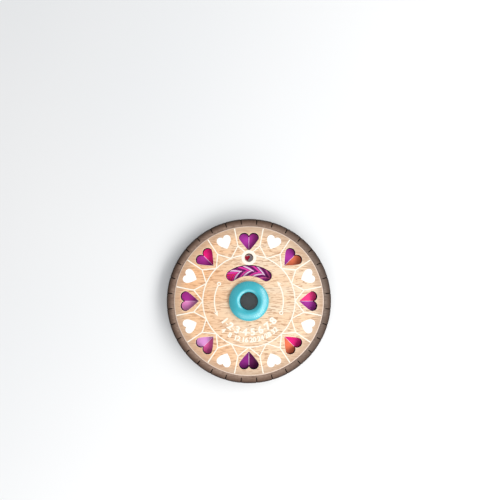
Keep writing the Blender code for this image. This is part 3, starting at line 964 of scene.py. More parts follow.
def print_lattice():
    pitch = 2.0 * math.pi / SPOKE_COUNT
    angle = NORTH + pitch / 2.0
    fork = polar(FORK_RADIUS, angle)
    spoke = strip_points(polar(SPOKE_END_RADIUS, angle), fork, LINE_WIDTH)
    strips = [raise_outline(spoke, PRINT_BOTTOM, PRINT_TOP, "spoke")]
    for layer, side in enumerate((-0.5, 0.5)):
        arm = strip_points(fork, polar(RING_RADIUS, angle + side * pitch), LINE_WIDTH)
        strips.append(raise_outline(arm, PRINT_BOTTOM, PRINT_TOP + LAYER_STEP * (layer + 1), "arm"))
    knot = circle_points(fork, LINE_WIDTH / 2.0, 12)
    strips.append(raise_outline(knot, PRINT_BOTTOM, PRINT_TOP + 3.0 * LAYER_STEP, "knot"))
    first = join_all(strips, "frame_lines")
    copies = copies_round(first, SPOKE_COUNT, "lines")
    half = LINE_WIDTH / 2.0
    ring = ring_section(RING_RADIUS - half, RING_RADIUS + half, 4)
    copies.append(turn_outline(ring, FACE_STEPS, "field_ring"))
    lattice = join_all(copies, "frame_lines")
    spot = (0.0, ROUND_WINDOW_CENTRE)
    hole = circle_points(spot, WINDOW_RING_RADIUS - RING_OVERLAP, WINDOW_RING_STEPS)
    top = PRINT_TOP + 4.0 * LAYER_STEP + CUT_SPARE
    cut_with(lattice, raise_outline(hole, PRINT_BOTTOM - CUT_SPARE, top))
    finish_piece(lattice, "frame_lines", "dial", line_ink)


print_lattice()

# %% [markdown]
# ## The ring round the small window
#
# A broad white ring frames the small round window. It is turned at the hub
# and then moved out to its place, which is the simplest way to a round piece
# that isn't on the axis.

# %% Print the window ring
WINDOW_MARGIN = 0.25 * MM


def print_window_ring():
    section = ring_section(ROUND_WINDOW_RADIUS + WINDOW_MARGIN, WINDOW_RING_RADIUS, 6)
    ring = turn_outline(section, WINDOW_RING_STEPS, "window_ring")
    ring.location = (0.0, ROUND_WINDOW_CENTRE, 0.0)
    finish_piece(ring, "window_ring", "dial", line_ink)


print_window_ring()

# %% [markdown]
# ## The turning arrows
#
# Two curved arrows either side of the hub say which way to turn it. Each is
# a bowed line with a barbed head at one end and a small open ring at the
# other. They are half a turn apart, nearly, and each is drawn from the same
# function.

# %% Print the arrows
ARROW_RADIUS = 22.2 * MM
ARROW_WIDTH = 0.75 * MM
ARROW_HEAD_LENGTH = 3.6 * MM
ARROW_HEAD_WIDTH = 3.0 * MM
ARROW_RING_RADIUS = 1.35 * MM
ARROW_RING_WIDTH = 0.7 * MM
ARROW_NOTCH_SHARE = 0.62
ARROW_SHAFT_SHARE = 0.6
RIGHT_ARROW_ENDS = (110.0, 55.0)
LEFT_ARROW_ENDS = (300.0, 244.0)
ARROW_STEPS = 24


def print_arrow(name, tail_angle, head_angle):
    """An arrow bowed round the hub, from its ring at one angle to its tip at another."""
    sense = 1.0 if head_angle > tail_angle else -1.0
    half = ARROW_WIDTH / 2.0
    start = tail_angle + sense * ARROW_RING_RADIUS / ARROW_RADIUS
    end = head_angle - sense * ARROW_SHAFT_SHARE * ARROW_HEAD_LENGTH / ARROW_RADIUS
    outer = arc_points((0.0, 0.0), ARROW_RADIUS + half, start, end, ARROW_STEPS)
    inner = arc_points((0.0, 0.0), ARROW_RADIUS - half, end, start, ARROW_STEPS)
    shaft = raise_outline(outer + inner, PRINT_BOTTOM, PRINT_TOP, "shaft")

    tip = polar(ARROW_RADIUS, head_angle)
    along = Vector((-math.sin(head_angle), math.cos(head_angle))) * sense
    side = Vector((along.y, -along.x))
    back = tip - along * ARROW_HEAD_LENGTH
    notch = tip - along * ARROW_NOTCH_SHARE * ARROW_HEAD_LENGTH
    barb = side * ARROW_HEAD_WIDTH / 2.0
    corners = [tip, back + barb, notch, back - barb]
    head = raise_outline(corners, PRINT_BOTTOM, PRINT_TOP + LAYER_STEP, "head")

    centre = polar(ARROW_RADIUS, tail_angle)
    section = ring_section(ARROW_RING_RADIUS - ARROW_RING_WIDTH, ARROW_RING_RADIUS, 2)
    ring = turn_outline(section, ARROW_STEPS, "tail_ring")
    put_at(ring, centre)
    arrow = join_all([shaft, head, ring], name)
    finish_piece(arrow, name, "dial", line_ink)


def clockwise(degrees):
    """An angle counted clockwise from north, as a plain angle from +X."""
    return NORTH - math.radians(degrees)


print_arrow("turn_arrow_right", *(clockwise(end) for end in RIGHT_ARROW_ENDS))
print_arrow("turn_arrow_left", *(clockwise(end) for end in LEFT_ARROW_ENDS))

# %% [markdown]
# ## The step numbers
#
# Below the hub a band of plain numbers counts the steps of a braid, and a
# smaller one the slots. Each number is a text object, made a mesh before it
# is turned and moved, because text keeps its place in its object until then.
# They stand upright along two arcs, large above and small below. Each is
# printed twice, a hair apart, which makes the thin strokes bolder, and the
# dashes between them are smaller, so that they stand free.

# %% Print the step numbers
UPPER_ROW_RADIUS = 20.2 * MM
UPPER_ROW_SIZE = 6.4 * MM
LOWER_ROW_RADIUS = 25.2 * MM
LOWER_ROW_SIZE = 4.3 * MM
BOLDNESS = 0.03
BOLD_SHIFT = 0.24 * MM
DASH_SHARE = 0.6
TEXT_MERGE = 0.0005 * MM
UPPER_ROW_SPAN = (231.0, 129.0)
LOWER_ROW_SPAN = (221.0, 139.0)


def print_number(text, size, radius, degrees, lift):
    """One number, centred at an angle on an arc and standing with its foot outward."""
    bpy.ops.object.select_all(action="DESELECT")
    bpy.ops.object.text_add(location=(0.0, 0.0, 0.0))
    label = bpy.context.active_object
    label.data.body = text
    label.data.size = size
    label.data.align_x = "CENTER"
    label.data.align_y = "CENTER"
    label.data.extrude = (PRINT_SINK + PRINT_HEIGHT) / 2.0
    label.data.offset = BOLDNESS * size
    only(label)
    bpy.ops.object.convert(target="MESH")
    label = bpy.context.active_object
    bpy.ops.object.mode_set(mode="EDIT")
    bpy.ops.mesh.select_all(action="SELECT")
    bpy.ops.mesh.remove_doubles(threshold=TEXT_MERGE)
    bpy.ops.object.mode_set(mode="OBJECT")
    spot = polar(radius, clockwise(degrees))
    label.location = (*spot, FACE_TOP + (PRINT_HEIGHT - PRINT_SINK) / 2.0 + lift)
    label.rotation_euler = (0.0, 0.0, math.radians(180.0 - degrees))
    only(label)
    bpy.ops.object.transform_apply(location=True, rotation=True, scale=True)
    return label


def print_number_row(name, texts, size, radius, first, last):
    """A row of numbers from one angle to another, read from left to right."""
    labels = []
    shift = math.degrees(BOLD_SHIFT / radius) / 2.0
    for index, text in enumerate(texts):
        degrees = first + (last - first) * index / (len(texts) - 1)
        height = DASH_SHARE * size if text == "-" else size
        labels.append(print_number(text, height, radius, degrees - shift, 0.0))
        labels.append(print_number(text, height, radius, degrees + shift, LAYER_STEP))
    finish_piece(join_all(labels, name), name, "dial", line_ink)


upper_texts = ["1", "-", "2", "-", "3", "-", "4", "-", "5", "-", "6", "-", "7", "-", "8"]
print_number_row(
    "step_numbers_upper", upper_texts, UPPER_ROW_SIZE, UPPER_ROW_RADIUS, *UPPER_ROW_SPAN,
)
lower_texts = ["4", "8", "12", "16", "20", "24", "28", "32"]
print_number_row(
    "step_numbers_lower", lower_texts, LOWER_ROW_SIZE, LOWER_ROW_RADIUS, *LOWER_ROW_SPAN,
)

# %% [markdown]
# ## Inks on the card
#
# The card under the face is printed and laminated. An ink isn't quite even:
# a fine halftone breaks it up, and the lamination has its own long waves.
# Every ink is the same material with its own colour, so one function makes
# them all.

# %% Make the card's inks
CLOUD_SHARES = (0.62, 0.55, 0.66)
SPECKLE_TINT = (0.9, 0.86, 0.88, 1.0)


def make_card_ink(name, tint):
    material, tree, shader, place = new_material(f"card_ink_{name}", IOR=1.3)
    dots = add_node(tree, "ShaderNodeTexNoise", Vector=place, Scale=2600.0, Detail=2.0)
    speckle = fade(tree, dots.outputs["Fac"], 0.4, 0.65, 0.0, 0.008)
    marks = use_group(tree, handling, Place=place, Low=0.45, High=0.6, Size=140.0)
    clouds = maths(tree, "MULTIPLY", marks["Blotches"], 0.10)
    darker = (*(part * share for part, share in zip(tint, CLOUD_SHARES)), 1.0)
    ink = blend_colours(tree, speckle, tint, SPECKLE_TINT)
    ink = blend_colours(tree, clouds, ink, darker)
    dress(tree, shader, ink, marks, dots.outputs["Fac"], 0.004 * MM)
    return material


INKS = {
    "white": colour(252, 238, 238),
    "purple": colour(186, 56, 172),
    "deep_purple": colour(108, 8, 88),
    "violet": colour(186, 50, 158),
    "magenta": colour(255, 26, 136),
    "hot_pink": colour(255, 62, 142),
    "coral": colour(255, 128, 88),
    "orchid": colour(248, 148, 214),
    "lilac": colour(240, 162, 232),
    "rose": colour(240, 96, 170),
    "crimson": colour(246, 42, 88),
    "pink": colour(255, 66, 178),
    "pale_orchid": colour(255, 216, 245),
    "plum": colour(150, 34, 140),
}
inks = {name: make_card_ink(name, tint) for name, tint in INKS.items()}
print("inks:", len(inks))

# %% [markdown]
# ## The pattern card
#
# The card is a flat ring in bands. Its outer band holds 24 colour fields of
# 15 degrees, and each heart window shows where two of them meet, one on each
# side of its axis. The ring is spun in 3 degree steps and in bands, so a
# field is simply a set of its faces, and each face is given its ink.

# %% Model the pattern card
CARD_BORE_RADIUS = 11.95 * MM
PICTURE_INNER_RADIUS = 15.4 * MM
PICTURE_OUTER_RADIUS = 24.3 * MM
FIELD_INNER_RADIUS = 31.2 * MM
CARD_STEPS = 120
FIELD_DEGREES = 15.0
UPPER_SIDE_MARGIN = 0.05 * MM
FIELD_INKS = [
    "violet", "crimson", "purple",
    "coral", "rose", "hot_pink",
    "purple", "lilac", "magenta",
    "coral", "orchid", "deep_purple",
    "plum", "pink", "rose",
    "lilac", "violet", "orchid",
    "violet", "coral", "violet",
    "magenta", "rose", "purple",
]


def model_pattern_card():
    rings = [CARD_BORE_RADIUS, PICTURE_INNER_RADIUS, PICTURE_OUTER_RADIUS]
    rings += [FIELD_INNER_RADIUS, CARD_RADIUS]
    section = [(radius, CARD_BOTTOM) for radius in rings]
    section += [(radius, CARD_TOP) for radius in reversed(rings)]
    card = turn_outline(section, CARD_STEPS, "pattern_sheet")
    finish_piece(card, "pattern_sheet", "pattern", None, ["pattern_card"])
    names = list(inks)
    for name in names:
        card.data.materials.append(inks[name])
    for face in card.data.polygons:
        ink = "white"
        radius = face.center.xy.length
        upper = face.center.z > CARD_TOP - UPPER_SIDE_MARGIN
        if upper and radius > FIELD_INNER_RADIUS:
            turned = math.degrees(NORTH - math.atan2(face.center.y, face.center.x)) % 360.0
            ink = FIELD_INKS[int(turned // FIELD_DEGREES)]
        if upper and PICTURE_INNER_RADIUS < radius < PICTURE_OUTER_RADIUS:
            ink = "plum"
        face.material_index = names.index(ink)


model_pattern_card()

# %% [markdown]
# ## Field dividers
#
# A hairline in pale pink separates neighbouring fields. One strip is drawn
# across the outer band and copied to all 24 boundaries.

# %% Print the dividers
DIVIDER_WIDTH = 0.28 * MM
CARD_PRINT_HEIGHT = 0.02 * MM
CARD_PRINT_BOTTOM = CARD_TOP - CARD_PRINT_HEIGHT
CARD_PRINT_TOP = CARD_TOP + CARD_PRINT_HEIGHT
DIVIDER_MARGIN = 0.2 * MM


def print_dividers():
    start = polar(FIELD_INNER_RADIUS, NORTH)
    end = polar(CARD_RADIUS - DIVIDER_MARGIN, NORTH)
    strip = strip_points(start, end, DIVIDER_WIDTH)
    first = raise_outline(strip, CARD_PRINT_BOTTOM, CARD_PRINT_TOP, "divider")
    lines = join_all(copies_round(first, len(FIELD_INKS), "divider"), "field_dividers")
    finish_piece(lines, "field_dividers", "pattern", inks["pale_orchid"])


print_dividers()

# %% [markdown]
# ## Braid pictures
#
# The curved window shows a picture of the finished braid, one for each of
# six colour choices. A round braid seen from the side is two columns of
# slanting stitches that meet in a row of Vs. So one stitch is drawn in polar
# coordinates, bent round the dial, and repeated; the inner column mirrors the
# outer one. Three inks take turns along the braid, over a dark ground. Where
# stitches cross, each is a hair higher than the last, as in the lattice.

# %% Print the braid pictures
PICTURE_COUNT = 6
STITCH_COUNT = 8
STITCH_SLANT = 3.6
STITCH_WIDTH = 0.9 * MM
STITCH_STEPS = 10
STITCH_OVERLAP = 0.16
STITCH_REACH = 1.12
STITCH_BEND = 0.85
STITCH_FULLNESS = 0.6
PICTURE_INKS = [
    ("pink", "pale_orchid", "deep_purple"),
    ("deep_purple", "rose", "violet"),
    ("coral", "lilac", "pink"),
    ("hot_pink", "white", "coral"),
    ("orchid", "deep_purple", "rose"),
    ("magenta", "crimson", "magenta"),
]


def stitch_outline(start, pitch, side):
    """One lens-shaped stitch, slanting outward (side 1) or inward (side -1)."""
    middle = (PICTURE_INNER_RADIUS + PICTURE_OUTER_RADIUS) / 2.0
    reach = (PICTURE_OUTER_RADIUS - PICTURE_INNER_RADIUS) / 2.0
    low = middle - side * STITCH_OVERLAP * reach
    spine = []
    for step in range(STITCH_STEPS + 1):
        share = step / STITCH_STEPS
        radius = low + side * (STITCH_REACH * reach) * share
        spine.append(polar(radius, start + STITCH_SLANT * pitch * share ** STITCH_BEND))
    left = []
    right = []
    for step in range(1, STITCH_STEPS):
        run = (spine[step + 1] - spine[step - 1]).normalized()
        swell = math.sin(math.pi * step / STITCH_STEPS) ** STITCH_FULLNESS
        across = Vector((-run.y, run.x)) * STITCH_WIDTH / 2.0 * swell
        left.append(tuple(spine[step] + across))
        right.append(tuple(spine[step] - across))
    return [tuple(spine[0])] + left + [tuple(spine[-1])] + right[::-1]


def print_braid_pictures():
    arc = 2.0 * math.pi / PICTURE_COUNT
    pitch = arc / STITCH_COUNT
    for picture, names in enumerate(PICTURE_INKS):
        # Where stitches meet, also those of the next picture, heights differ.
        first = NORTH + arc / 2.0 - picture * arc - STITCH_SLANT * pitch / 2.0
        stitches = []
        for index in range(STITCH_COUNT):
            for side in (1.0, -1.0):
                turn = 0 if side > 0.0 else 1
                outline = stitch_outline(first - (index + turn / 2.0) * pitch, pitch, side)
                layer = turn + 2 * (index % 2) + 4 * (picture % 2)
                top = CARD_PRINT_TOP + layer * LAYER_STEP
                stitch = raise_outline(outline, CARD_PRINT_BOTTOM, top)
                stitch.data.materials.append(inks[names[(index + turn) % len(names)]])
                stitches.append(stitch)
        name = f"braid_picture_{picture + 1}"
        finish_piece(join_all(stitches, name), name, "pattern", None)


print_braid_pictures()

# %% [markdown]
# ## Index hearts
#
# The small round window shows which braid is set. Six little red hearts are
# printed on the card at that radius, a touch to the left of each picture's
# middle.

# %% Print the index hearts
INDEX_HEART_SIZE = 3.8 * MM
INDEX_HEART_LENGTH = INDEX_HEART_SIZE * 0.92
INDEX_TIP_SHARE = 0.45
INDEX_SHIFT = math.radians(2.3)


def print_index_hearts():
    tip = ROUND_WINDOW_CENTRE - INDEX_HEART_SIZE * INDEX_TIP_SHARE
    outline = [(x, y + tip) for x, y in heart_points(INDEX_HEART_SIZE, INDEX_HEART_LENGTH)]
    outline = turn_points(outline, INDEX_SHIFT)
    first = raise_outline(outline, CARD_PRINT_BOTTOM, CARD_PRINT_TOP)
    for index, heart in enumerate(copies_round(first, PICTURE_COUNT, "index")):
        finish_piece(heart, f"index_heart_{index + 1}", "pattern", inks["crimson"])


print_index_hearts()

# %% [markdown]
# ## Teal plastic
#
# The hub is moulded in glossy teal plastic. Moulded plastic has a very
# slight ripple and fine dust of scratches that only show in its reflections,
# so its colour varies little and its roughness more.

# %% Make the plastics
def make_plastic(name, tint, deep, low, high, coat):
    material, tree, shader, place = new_material(
        name, IOR=1.5, Coat_Weight=coat, Coat_Roughness=0.28,
    )
    marks = use_group(tree, handling, Place=place, Low=low, High=high, Size=160.0)
    clouds = maths(tree, "MULTIPLY", marks["Blotches"], 0.5)
    ripple = add_node(tree, "ShaderNodeTexNoise", Vector=place, Scale=420.0, Detail=2.0)
    plastic = blend_colours(tree, clouds, tint, deep)
    dress(tree, shader, plastic, marks, ripple.outputs["Fac"], 0.02 * MM)
    return material


TEAL = (colour(52, 178, 194), colour(26, 160, 174))
# The sleeve's dark brown is painted shade: the colour of the shadow down the bore.
BORE_SHADE_BROWN = (colour(58, 44, 38), colour(42, 32, 28))
NATURAL_WHITE = (colour(236, 234, 226), colour(214, 210, 200))
hub_plastic = make_plastic("teal_plastic", *TEAL, 0.26, 0.38, 1.0)
sleeve_shade_plastic = make_plastic("bore_shade_plastic", *BORE_SHADE_BROWN, 0.4, 0.6, 0.0)
nylon_plastic = make_plastic("washer_nylon", *NATURAL_WHITE, 0.4, 0.55, 0.0)
print("plastics:", hub_plastic.name, sleeve_shade_plastic.name, nylon_plastic.name)

# %% [markdown]
# ## The hub collar
#
# The collar is a smooth dome with a hole: a long slope from its outer edge up
# to a crest, then a shorter slope down into the bore. Both slopes are
# superellipses, ellipses whose power is well under two, so they fall nearly
# like cones, and each side of the collar takes the light in one broad patch.
# Four keys on the skirt below turn the disc inside; they are short blocks,
# joined to it with a Boolean union.

# %% Model the hub collar
HUB_STEPS = 160
DOME_HEIGHT = 2.4 * MM
CREST_WIDTH = 2.1 * MM
CREST_DROP = 1.1 * MM
SLOPE_POWER = 1.3
LIP_DEPTH = 1.2 * MM
HUB_EDGE = 1.0 * MM
SKIRT_INNER_RADIUS = 7.05 * MM
SKIRT_RADIUS = 8.25 * MM
KEY_RADIUS = 9.45 * MM
KEY_WIDTH = 3.2 * MM
KEY_COUNT = 4
OUTER_EASE = 0.15 * MM
SLOPE_STEPS = 24
MOUTH_STEPS = 12


def model_hub_collar():
    crest = BORE_RADIUS + CREST_WIDTH
    base = HUB_TOP - DOME_HEIGHT
    flange = base - HUB_EDGE
    section = [(SKIRT_RADIUS, flange), (HUB_RADIUS - OUTER_EASE, flange)]
    section += [(HUB_RADIUS, flange + OUTER_EASE)]
    for step in range(SLOPE_STEPS + 1):
        angle = math.pi / 2.0 * step / SLOPE_STEPS
        outward = math.cos(angle) ** (2.0 / SLOPE_POWER)
        upward = math.sin(angle) ** (2.0 / SLOPE_POWER)
        section.append((crest + (HUB_RADIUS - crest) * outward, base + DOME_HEIGHT * upward))
    for step in range(1, MOUTH_STEPS + 1):
        angle = math.pi / 2.0 * step / MOUTH_STEPS
        inward = math.sin(angle) ** (2.0 / SLOPE_POWER)
        upward = math.cos(angle) ** (2.0 / SLOPE_POWER)
        section.append((crest - CREST_WIDTH * inward, HUB_TOP - CREST_DROP * (1.0 - upward)))
    section += [(BORE_RADIUS, base - LIP_DEPTH), (SKIRT_INNER_RADIUS, base - LIP_DEPTH)]
    section += [(SKIRT_INNER_RADIUS, SKIRT_BOTTOM), (SKIRT_RADIUS, SKIRT_BOTTOM)]
    collar = turn_outline(section, HUB_STEPS, "teal_collar")
    root = (SKIRT_INNER_RADIUS + SKIRT_RADIUS) / 2.0
    wide = KEY_WIDTH / 2.0
    key = [(root, -wide), (KEY_RADIUS, -wide), (KEY_RADIUS, wide), (root, wide)]
    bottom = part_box("carrier_disc")[0].z
    first = raise_outline(key, bottom, flange + HUB_EDGE / 2.0, "key")
    block = join_all(copies_round(first, KEY_COUNT, "key"), "keys")
    apply_modifier(collar, "BOOLEAN", operation="UNION", solver="EXACT", object=block)
    bpy.data.objects.remove(block)
    finish_piece(
        collar, "teal_collar", "pattern", hub_plastic, ["hub_collar"],
    )


model_hub_collar()

# %% [markdown]
# ## The hub sleeve
#
# The sleeve lines the bore and spreads into a flange at the back, which
# holds the hub in. Its dark brown is painted shade: the colour of the shadow
# down the bore. Both of its mouths are rounded, because thread runs over them.

# %% Model the hub sleeve
SLEEVE_RADIUS = 6.75 * MM
REAR_FLANGE_THICKNESS = 0.9 * MM
SLEEVE_ROUND = 0.4 * MM
FLANGE_ROUND = 0.3 * MM


def quarter_round(centre, radius, start, steps=6):
    """Corner points on a quarter circle, turning anticlockwise from a start angle."""
    return arc_points(centre, radius, start, start + math.pi / 2.0, steps)


def model_sleeve():
    mouth = BORE_RADIUS + SLEEVE_ROUND
    flange_end = (REAR_FLANGE_RADIUS - FLANGE_ROUND, SLEEVE_BOTTOM + FLANGE_ROUND)
    flange_top = SLEEVE_BOTTOM + REAR_FLANGE_THICKNESS
    section = quarter_round((mouth, SLEEVE_BOTTOM + SLEEVE_ROUND), SLEEVE_ROUND, math.pi)
    section += quarter_round(flange_end, FLANGE_ROUND, 1.5 * math.pi)
    section += [(REAR_FLANGE_RADIUS, flange_top), (SLEEVE_RADIUS, flange_top)]
    section += [(SLEEVE_RADIUS, SLEEVE_TOP)]
    section += quarter_round((mouth, SLEEVE_TOP - SLEEVE_ROUND), SLEEVE_ROUND, math.pi / 2.0)
    sleeve = turn_outline(section, HUB_STEPS, "bore_lining")
    finish_piece(
        sleeve, "bore_lining", "pattern", sleeve_shade_plastic, ["hub_sleeve"],
    )


model_sleeve()

# %% [markdown]
# ## Brass and spring steel
#
# Eight small countersunk screws in brass hold the back plate, and a steel
# washer presses behind the hub. Metal takes its look from what it reflects,
# so both share one material with fine scratches in its bump.

# %% Make the brass
def make_metal(name, tint, dull, low, high):
    material, tree, shader, place = new_material(name, Metallic=1.0)
    marks = use_group(tree, handling, Place=place, Low=low, High=high, Size=700.0)
    scratches = stretched_noise(tree, place, (900.0, 5200.0, 900.0), 2.0)
    metal = blend_colours(tree, marks["Blotches"], tint, dull)
    dress(tree, shader, metal, marks, scratches, 0.01 * MM)
    return material


brass = make_metal("screw_brass", colour(206, 168, 92), colour(168, 130, 66), 0.25, 0.45)
spring_steel = make_metal("washer_steel", colour(198, 200, 204), colour(160, 162, 168), 0.2, 0.4)

# %% [markdown]
# ## The screws
#
# One screw is turned from its section and the others are copies. The shank is
# hidden in the wood, so plain ridges round it stand for the thread. What
# counts is the head, with its conical seat and its cross recess, and those
# are modelled finely.

# %% Model the screws
SCREW_COUNT = 8
SCREW_HEAD_RADIUS = 1.6 * MM
SCREW_SHANK_RADIUS = 0.8 * MM
SCREW_HEAD_LAND = 0.2 * MM
SCREW_STEPS = 40
SCREW_EASE = 0.08 * MM
SCREW_CORE = 0.02 * MM
SCREW_POINT = 1.3 * MM
THREAD_START = 0.4 * MM
THREAD_PITCH = 0.45 * MM
GROOVE_SHARE = 0.78
CORE_MERGE = 0.045 * MM
CROSS_REACH = 0.95 * MM
CROSS_WIDTH = 0.45 * MM
CROSS_DEPTH = 0.5 * MM


def model_screws():
    low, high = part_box("plate_screw_1")
    circle = Vector(((low.x + high.x) / 2.0, (low.y + high.y) / 2.0)).length
    head = SCREW_BOTTOM + SCREW_HEAD_LAND
    neck = head + SCREW_HEAD_RADIUS - SCREW_SHANK_RADIUS
    edge = SCREW_HEAD_RADIUS - SCREW_EASE
    section = [(SCREW_CORE, SCREW_BOTTOM), (edge, SCREW_BOTTOM)]
    section += [(SCREW_HEAD_RADIUS, SCREW_BOTTOM + SCREW_EASE), (SCREW_HEAD_RADIUS, head)]
    section += [(SCREW_SHANK_RADIUS, neck)]
    height = neck + THREAD_START
    while height < SCREW_TOP - SCREW_POINT:
        groove = (SCREW_SHANK_RADIUS * GROOVE_SHARE, height + THREAD_PITCH / 2.0)
        section += [(SCREW_SHANK_RADIUS, height), groove]
        height += THREAD_PITCH
    section += [(SCREW_SHANK_RADIUS, height), (SCREW_CORE, SCREW_TOP)]
    first = turn_outline(section, SCREW_STEPS, "plate_screw")
    only(first)
    bpy.ops.object.mode_set(mode="EDIT")
    bpy.ops.mesh.select_all(action="SELECT")
    bpy.ops.mesh.remove_doubles(threshold=CORE_MERGE)
    bpy.ops.mesh.normals_make_consistent(inside=False)
    bpy.ops.object.mode_set(mode="OBJECT")
    half = CROSS_WIDTH / 2.0
    arm = [(CROSS_REACH, -half), (CROSS_REACH, half), (half, half)]
    cross = []
    for _ in range(4):
        cross += arm
        arm = [(-y, x) for x, y in arm]
    cut_with(first, raise_outline(cross, SCREW_BOTTOM - CUT_SPARE, SCREW_BOTTOM + CROSS_DEPTH))
    start = NORTH + math.pi / SCREW_COUNT
    put_at(first, polar(circle, start))
    for number, screw in enumerate(copies_round(first, SCREW_COUNT, "screw"), start=1):
        replaced = [f"plate_screw_{number}"]
        finish_piece(screw, f"brass_screw_{number}", "dial", brass, replaced)


model_screws()

# %% [markdown]
# ## Finishes for the plain pieces that stay
#
# The back plate, the carrier disc, the felt ring and the two washers already
# have the right shape, so they keep it and only get a finish. Felt is a
# tangle of short fibres: noise in two directions, a soft sheen, and a bump
# deep enough to break its edge.

# %% Finish the plain pieces
BACK_TINTS = [(238, 210, 172), (224, 180, 134), (146, 104, 68)]
PLY_TINTS = [(220, 188, 146), (200, 160, 114), (128, 92, 60)]
PLY_PITCH = 1.2 * MM


def shade_ply(tree, place, grain):
    """Darkens every other ply, which shows at the disc's edge."""
    parts = add_node(tree, "ShaderNodeSeparateXYZ", Vector=place).outputs
    turns = maths(tree, "MULTIPLY", parts["Z"], 2.0 * math.pi / PLY_PITCH)
    layers = fade(tree, maths(tree, "SINE", turns), -0.2, 0.2, 0.0, 0.35)
    return blend_colours(tree, layers, grain["Color"], colour(168, 124, 84))


def make_felt():
    material, tree, shader, place = new_material("grey_felt", Sheen_Weight=0.4, Sheen_Roughness=0.5)
    fibres = stretched_noise(tree, place, (3200.0, 900.0, 1500.0), 4.0, 0.7, 1.5)
    crossing = stretched_noise(tree, place, (900.0, 3200.0, 1500.0), 4.0, 0.7, 1.5)
    tangle = maths(tree, "MAXIMUM", fibres, crossing)
    mask = fade(tree, tangle, 0.45, 0.75)
    marks = use_group(tree, handling, Place=place, Low=0.85, High=0.98)
    wool = blend_colours(tree, mask, colour(70, 70, 76), colour(118, 118, 124))
    dress(tree, shader, wool, marks, tangle, 0.15 * MM)
    return material


back_wood = make_wood("back_beech", BACK_TINTS, (0.55, 0.5), (0.5, 0.68), 0.03 * MM)
plywood = make_wood("carrier_ply", PLY_TINTS, (0.4, 0.5), (0.6, 0.8), 0.03 * MM, shade_ply)
PLAIN_FINISHES = {
    "back_plate": back_wood,
    "carrier_disc": plywood,
    "felt_ring": make_felt(),
    "slip_washer": nylon_plastic,
    "wave_washer": spring_steel,
}
for node_name, finish in PLAIN_FINISHES.items():
    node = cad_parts[node_name]
    node.data.materials.clear()
    node.data.materials.append(finish)
print("finished plain pieces:", ", ".join(PLAIN_FINISHES))

# %% [markdown]
# ## The floor
#
# The floor is pale and plain, and it lies a hair under the dial. A slow noise
# between two near whites keeps it from looking like an empty background.

# %% Lay the floor
FLOOR_SIZE = 4.0
FLOOR_DROP = 0.05 * MM


def lay_floor():
    bpy.ops.object.select_all(action="DESELECT")
    bpy.ops.mesh.primitive_plane_add(size=FLOOR_SIZE, location=(0.0, 0.0, -FLOOR_DROP))
    floor = bpy.context.active_object
    floor.name = "studio_floor"
    material, tree, shader, place = new_material("studio_floor", Roughness=0.9)
    soft = add_node(tree, "ShaderNodeTexNoise", Vector=place, Scale=3.0, Detail=2.0)
    shade = fade(tree, soft.outputs["Fac"], 0.3, 0.7)
    pale = blend_colours(tree, shade, colour(232, 234, 236), colour(236, 237, 238))
    tree.links.new(pale, shader.inputs["Base Color"])
    floor.data.materials.append(material)


lay_floor()

# %% [markdown]
# ## The lights
#
# A long soft key light stands low on the right, as in the picture, where the
# hub's left flank is in shade. A weaker light stands in front, below the dial
# in the picture, and an even world lifts the rest. A white card returns pi
# times less than it receives, so each light's power follows from the share of
# full brightness it should give. The shares add up to a little over one, so
# that the deep windows are bright enough, and the face's colours are written
# a shade darker to match.

# %% Set the lights
KEY_SHARE = 0.86
FRONT_SHARE = 0.28
KEY_PLACE = (0.557, -0.098, 0.503)
KEY_SIZE = (1.60, 0.29)
KEY_TINT = (1.0, 0.985, 0.96)
FRONT_PLACE = (0.05, -0.564, 0.503)
FRONT_SIZE = (1.00, 0.29)
FRONT_TINT = (1.0, 0.99, 0.97)
WORLD_LEVEL = 0.52


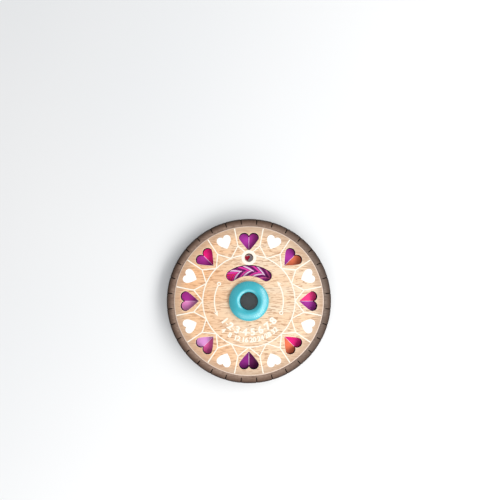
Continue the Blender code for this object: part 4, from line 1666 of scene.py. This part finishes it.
def add_area_light(name, place, long_side, short_side, share, tint):
    """A rectangular soft light that faces the dial and gives a share of its full brightness."""
    ray = Vector(place) - Vector((0.0, 0.0, FACE_TOP))
    data = bpy.data.lights.new(name, "AREA")
    data.shape = "RECTANGLE"
    data.size = long_side
    data.size_y = short_side
    data.energy = share * math.pi ** 2 * ray.length ** 3 / ray.z
    data.color = tint
    lamp = bpy.data.objects.new(name, data)
    bpy.context.scene.collection.objects.link(lamp)
    lamp.location = place
    lamp.rotation_euler = (-ray).to_track_quat("-Z", "Y").to_euler()


add_area_light("key_light", KEY_PLACE, *KEY_SIZE, KEY_SHARE, KEY_TINT)
add_area_light("front_light", FRONT_PLACE, *FRONT_SIZE, FRONT_SHARE, FRONT_TINT)
world = bpy.data.worlds.new("studio_world")
bpy.context.scene.world = world
world.use_nodes = True
background = world.node_tree.nodes["Background"]
background.inputs["Color"].default_value = (0.97, 0.98, 1.0, 1.0)
background.inputs["Strength"].default_value = WORLD_LEVEL
print("light shares:", KEY_SHARE, FRONT_SHARE, WORLD_LEVEL)
bpy.context.scene.view_settings.view_transform = "Standard"

# %% [markdown]
# ## The camera
#
# The picture looks straight at the dial, whose centre lies a tenth of the
# frame below the middle. So the camera hangs right above the hub, and a small
# lens shift moves the dial down in the frame without tilting the view.

# %% Hang the camera
PICTURE_SIZE = 500.0
DIAL_CENTRE_PIXEL = Vector((248.9, 301.1))
DIAL_RADIUS_PIXELS = 82.0
CAMERA_HEIGHT = 0.24
SENSOR_WIDTH = 36.0


def hang_camera():
    data = bpy.data.cameras.new("dial_camera")
    camera = bpy.data.objects.new("dial_camera", data)
    bpy.context.scene.collection.objects.link(camera)
    bpy.context.scene.camera = camera
    camera.location = (0.0, 0.0, CAMERA_HEIGHT)
    camera.rotation_euler = (0.0, 0.0, 0.0)
    widest = RIM_TOP - RIM_ROUND_HEIGHT
    frame_width = PICTURE_SIZE * RIM_RADIUS / DIAL_RADIUS_PIXELS
    data.sensor_width = SENSOR_WIDTH
    data.lens = SENSOR_WIDTH * (CAMERA_HEIGHT - widest) / frame_width
    data.shift_x = (PICTURE_SIZE / 2.0 - DIAL_CENTRE_PIXEL.x) / PICTURE_SIZE
    data.shift_y = (DIAL_CENTRE_PIXEL.y - PICTURE_SIZE / 2.0) / PICTURE_SIZE
    data.clip_start = 0.01
    data.clip_end = 10.0
    print("lens, mm:", round(data.lens, 1))
    print("shift:", round(data.shift_x, 4), round(data.shift_y, 4))


hang_camera()
